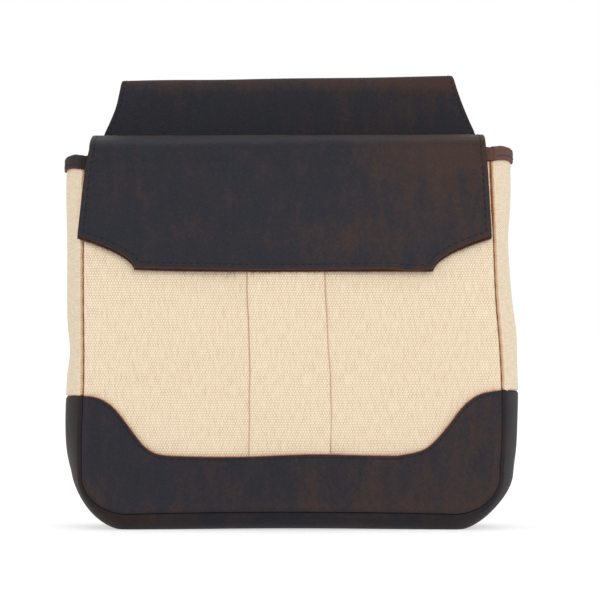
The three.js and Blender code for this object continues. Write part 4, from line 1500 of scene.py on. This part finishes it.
def tape_section(count):
    """The folded tape's middle line: up the outside, over in a half ellipse and
    down the inside, as out from the wall's outer face and up from its edge."""
    outside, inside = GAP + TAPE / 2, -CANVAS - GAP - TAPE / 2
    middle, reach = (outside + inside) / 2, (outside - inside) / 2
    rise = np.linspace(-TAPE_WIDTH, -0.6, count)
    angle = np.linspace(0, PI, 15)
    up = GAP + TAPE / 2 + 0.6
    out = [outside + 0 * rise, middle + reach * np.cos(angle[1:-1]), inside + 0 * rise]
    high = [rise, -0.6 + up * np.sin(angle[1:-1]), rise[::-1]]
    return np.concatenate(out), np.concatenate(high)


def binding(name, node, share, place, warm, stitch_from):
    """Tape folded over an edge: its section carried along the edge, with round cut
    edges, soft puckers and a row of stitches. Place gives a point for a share of
    the edge, a distance out and a height over the edge."""
    out, up = tape_section(9)
    line = np.stack([out, up], -1)
    way = np.gradient(line, axis=0)
    way = unit(way)
    run = run_of(line)
    end = np.minimum(run, run[-1] - run)[:, None]
    share = share[None, :]
    length = np.linalg.norm(np.diff(place(share[0], 0.0, 0.0), axis=0), axis=-1).sum()
    tip = np.minimum(share, 1 - share) * length
    half = TAPE / 2 * rim(end, TAPE / 2, 3) * rim(tip, 0.1, 3)
    close(half)
    pucker = 0.1 * np.sin(share * length / 1.1 + 1.3 * np.sin(share * 19))
    pucker = pucker * ease(end, 0.5, 4) * ease(tip, 0, 2)
    outer_way, up_way = way[:, 1][:, None], -way[:, 0][:, None]
    faces = []
    for sign in (1, -1):
        offset = sign * half + pucker
        faces.append(
            place(share, out[:, None] + outer_way * offset, up[:, None] + up_way * offset)
        )
    inset = end + 0 * share
    facts = {
        "inset": inset,
        "warm": warm + 0.2 * waves(share * length, run[:, None], 91, 12, 40) + 0 * inset,
        "cloth": np.stack(np.broadcast_arrays(share * length, run[:, None]), -1),
    }
    made = piece(name, *skin(faces[0], faces[1], facts), tape, "tape", [node])
    along = np.linspace(stitch_from, 1 - stitch_from, 300)
    level = -TAPE_WIDTH * 0.62
    on = place(along, GAP + TAPE, level)
    over = place(along, GAP + TAPE + 1, level)
    stitches = thread_row(on, over - on, 2.1, 1.5, 0.22)
    piece(name.replace("_tape", "_stitches"), *stitches, {}, black_thread, "tape")
    return made


def side_binding(side):
    """The tape on a gusset's edge, from the front seam to the back panel."""
    name = "left" if side < 0 else "right"

    def place(share, out, up):
        top = gusset_top(side, share)
        z = top + up
        back = BACK + np.minimum(0, out)
        x = seam_reach(side, z) + gusset_reach(side, z, share) + CANVAS + out
        return points_of(side * x, blend(front_seam(z) - out + GAP, back, share), z)

    share = spaced(-0.006, 1, 0.004, 60)
    # painted warm reflection: the right tape is made red-brown
    warm = 0.0 if side < 0 else 0.9
    return binding(f"binding_{name}_tape", f"binding_{name}", share, place, warm, 0.03)


def front_binding():
    """The tape on the front panel's edge, between the gussets' tapes."""

    def place(share, out, up):
        z = mouth_edge(blend(-PANEL_WIDTH, PANEL_WIDTH, share) / 2) + up - end_drop(share)
        left = -(seam_reach(-1, z) + CANVAS + out)
        right = seam_reach(1, z) + CANVAS + out
        x = blend(left, right, share)
        return points_of(x, front_face(x, z) - out, z)

    share = spaced(-0.001, 1.001, 0.001, 150)
    # painted warm reflection: red-brown towards the right end
    warm = 0.95 * ease(share, 0.8, 0.97)
    return binding("binding_front_tape", "binding_front", share, place, warm, 0.01)


def fibres_along(base, down, out, count, seed, shortest, longest, spread, thick=0.07):
    """Loose fibres: thin three-sided strands from random places of a polyline, each
    bending to one side as the square of its length."""
    random = np.random.default_rng(seed)
    at = random.uniform(0, len(base) - 1.001, count)
    low = at.astype(int)
    root = blend(base[low], base[low + 1], (at - low)[:, None])
    length = random.uniform(shortest, longest, count)[:, None, None]
    lean = random.normal(0, spread, (count, 1, 3)) * [1.0, 0.35, 0.6]
    curl = random.normal(0, spread, (count, 1, 3)) * [1.0, 0.3, 0.8]
    k = np.linspace(0, 1, 5)[None, :, None]
    way = np.asarray(down)[None, None] + np.asarray(out)[None, None] + lean
    line = root[:, None] + length * (way * k + curl * k * k)
    angle = np.arange(3) * 2 * PI / 3
    ring = np.stack([np.cos(angle), np.sin(angle), 0 * angle], -1)
    ring = ring[None, None] * (thick * (1.05 - k))[..., None]
    points = (line[:, :, None] + ring).reshape(-1, 3)
    number = np.arange(15).reshape(5, 3)
    around = np.concatenate([number, number[:, :1]], 1)
    one = cells(around)
    caps = np.array([[0, 2, 1, 1], [12, 13, 14, 14]])
    one = np.concatenate([one, caps])
    faces = (one[None] + 15 * np.arange(count)[:, None, None]).reshape(-1, 4)
    return points, faces


def loose_fibres():
    """Fibres of the lining below the flap's hem, a few long ones near the pleat's
    left fold, and the short fuzz of the base's ogee edge."""
    across = np.linspace(-0.985, 0.985, 600)
    z = flap_hem(across, LINING_SHOW)
    hem = flap_point(across, flap_along(across, z), -GAP - LINING / 2)
    parts = [fibres_along(hem, (0, 0, -1), (0, -0.1, 0), 900, 5, 0.3, 1.1, 0.7)]
    for spot, count, longest in ((-33, 5, 4.5), (-20.5, 7, 6.5), (-16.5, 4, 4.5), (-11, 6, 2.8)):
        near = hem[np.abs(hem[:, 0] - spot) < 2.2]
        parts.append(
            fibres_along(
                near, (0, 0, -0.7), (0, -0.15, 0), count, 100 + count, 1.5, longest, 0.6, 0.16
            )
        )
    points, faces = gather(parts)
    piece("lining_fibres", points, faces, {}, rust_thread, "suede")
    x = np.linspace(-seam_reach(-1, BASE_SHOULDER) + 2, seam_reach(1, BASE_SHOULDER) - 2, 900)
    edge = points_of(x, base_height(x, base_edge(x)) - LEATHER * 0.55, base_edge(x) - 0.1)
    points, faces = fibres_along(edge, (0, 0, 1), (0, -0.5, 0), 1500, 6, 0.15, 0.55, 0.5)
    piece("edge_fuzz", points, faces, {}, rust_thread, "leather")


front_panel()
back_panel()
front_pleat()
side_gusset(-1)
side_gusset(1)
front_base()
base_gusset()
seam_cords()
side_binding(-1)
side_binding(1)
front_binding()
flap()
flap_lining()
belt_loop()
loose_fibres()


EYE = (0.00425, -2.0, 0.1253)
VIEW_WIDTH = 331.2  # what the picture spans in the plane of the origin


def camera():
    """The photograph's view: level, from straight ahead and far off."""
    eye = bpy.data.cameras.new("eye")
    eye.sensor_width = 36
    eye.lens = -eye.sensor_width * EYE[1] / METRE / VIEW_WIDTH
    eye.clip_end = 30
    held = added("eye", eye)
    held.location = EYE
    held.rotation_euler = (PI / 2, 0, 0)
    bpy.context.scene.camera = held


def floor():
    """A wide level floor at the bag's foot."""
    reach = 9.0
    corners = [(-reach, -reach, 0), (reach, -reach, 0), (reach, reach, 0), (-reach, reach, 0)]
    mesh = bpy.data.meshes.new("studio_floor")
    mesh.from_pydata(corners, [], [(0, 1, 2, 3)])
    mesh.materials.append(floor_finish())
    made = added("studio_floor", mesh)


def lights():
    """Soft daylight all round from a white sky, and two wide lamps in front: the
    stronger high on the right, the weaker on the left."""
    sky = bpy.data.worlds.new("studio")
    sky.use_nodes = True
    ground = sky.node_tree.nodes["Background"]
    ground.inputs[0].default_value = (1.0, 1.0, 1.0, 1)
    ground.inputs[1].default_value = 1.0
    bpy.context.scene.world = sky
    for name, place, size, power in (
        ("key", (0.5, -1.85, 1.0), 0.9, 11.9),
        ("fill", (-1.4, -1.3, 0.7), 1.2, 2.0),
    ):
        lamp = bpy.data.lights.new(name, "AREA")
        lamp.size = size
        lamp.energy = power
        held = added(name, lamp)
        held.location = place
        aim = np.array([0.0, 0.0, 0.12]) - place
        flat = np.hypot(aim[0], aim[1])
        held.rotation_euler = (np.arctan2(flat, -aim[2]), 0, np.arctan2(-aim[0], aim[1]))


camera()
floor()
lights()
bpy.context.scene.view_settings.view_transform = "Standard"
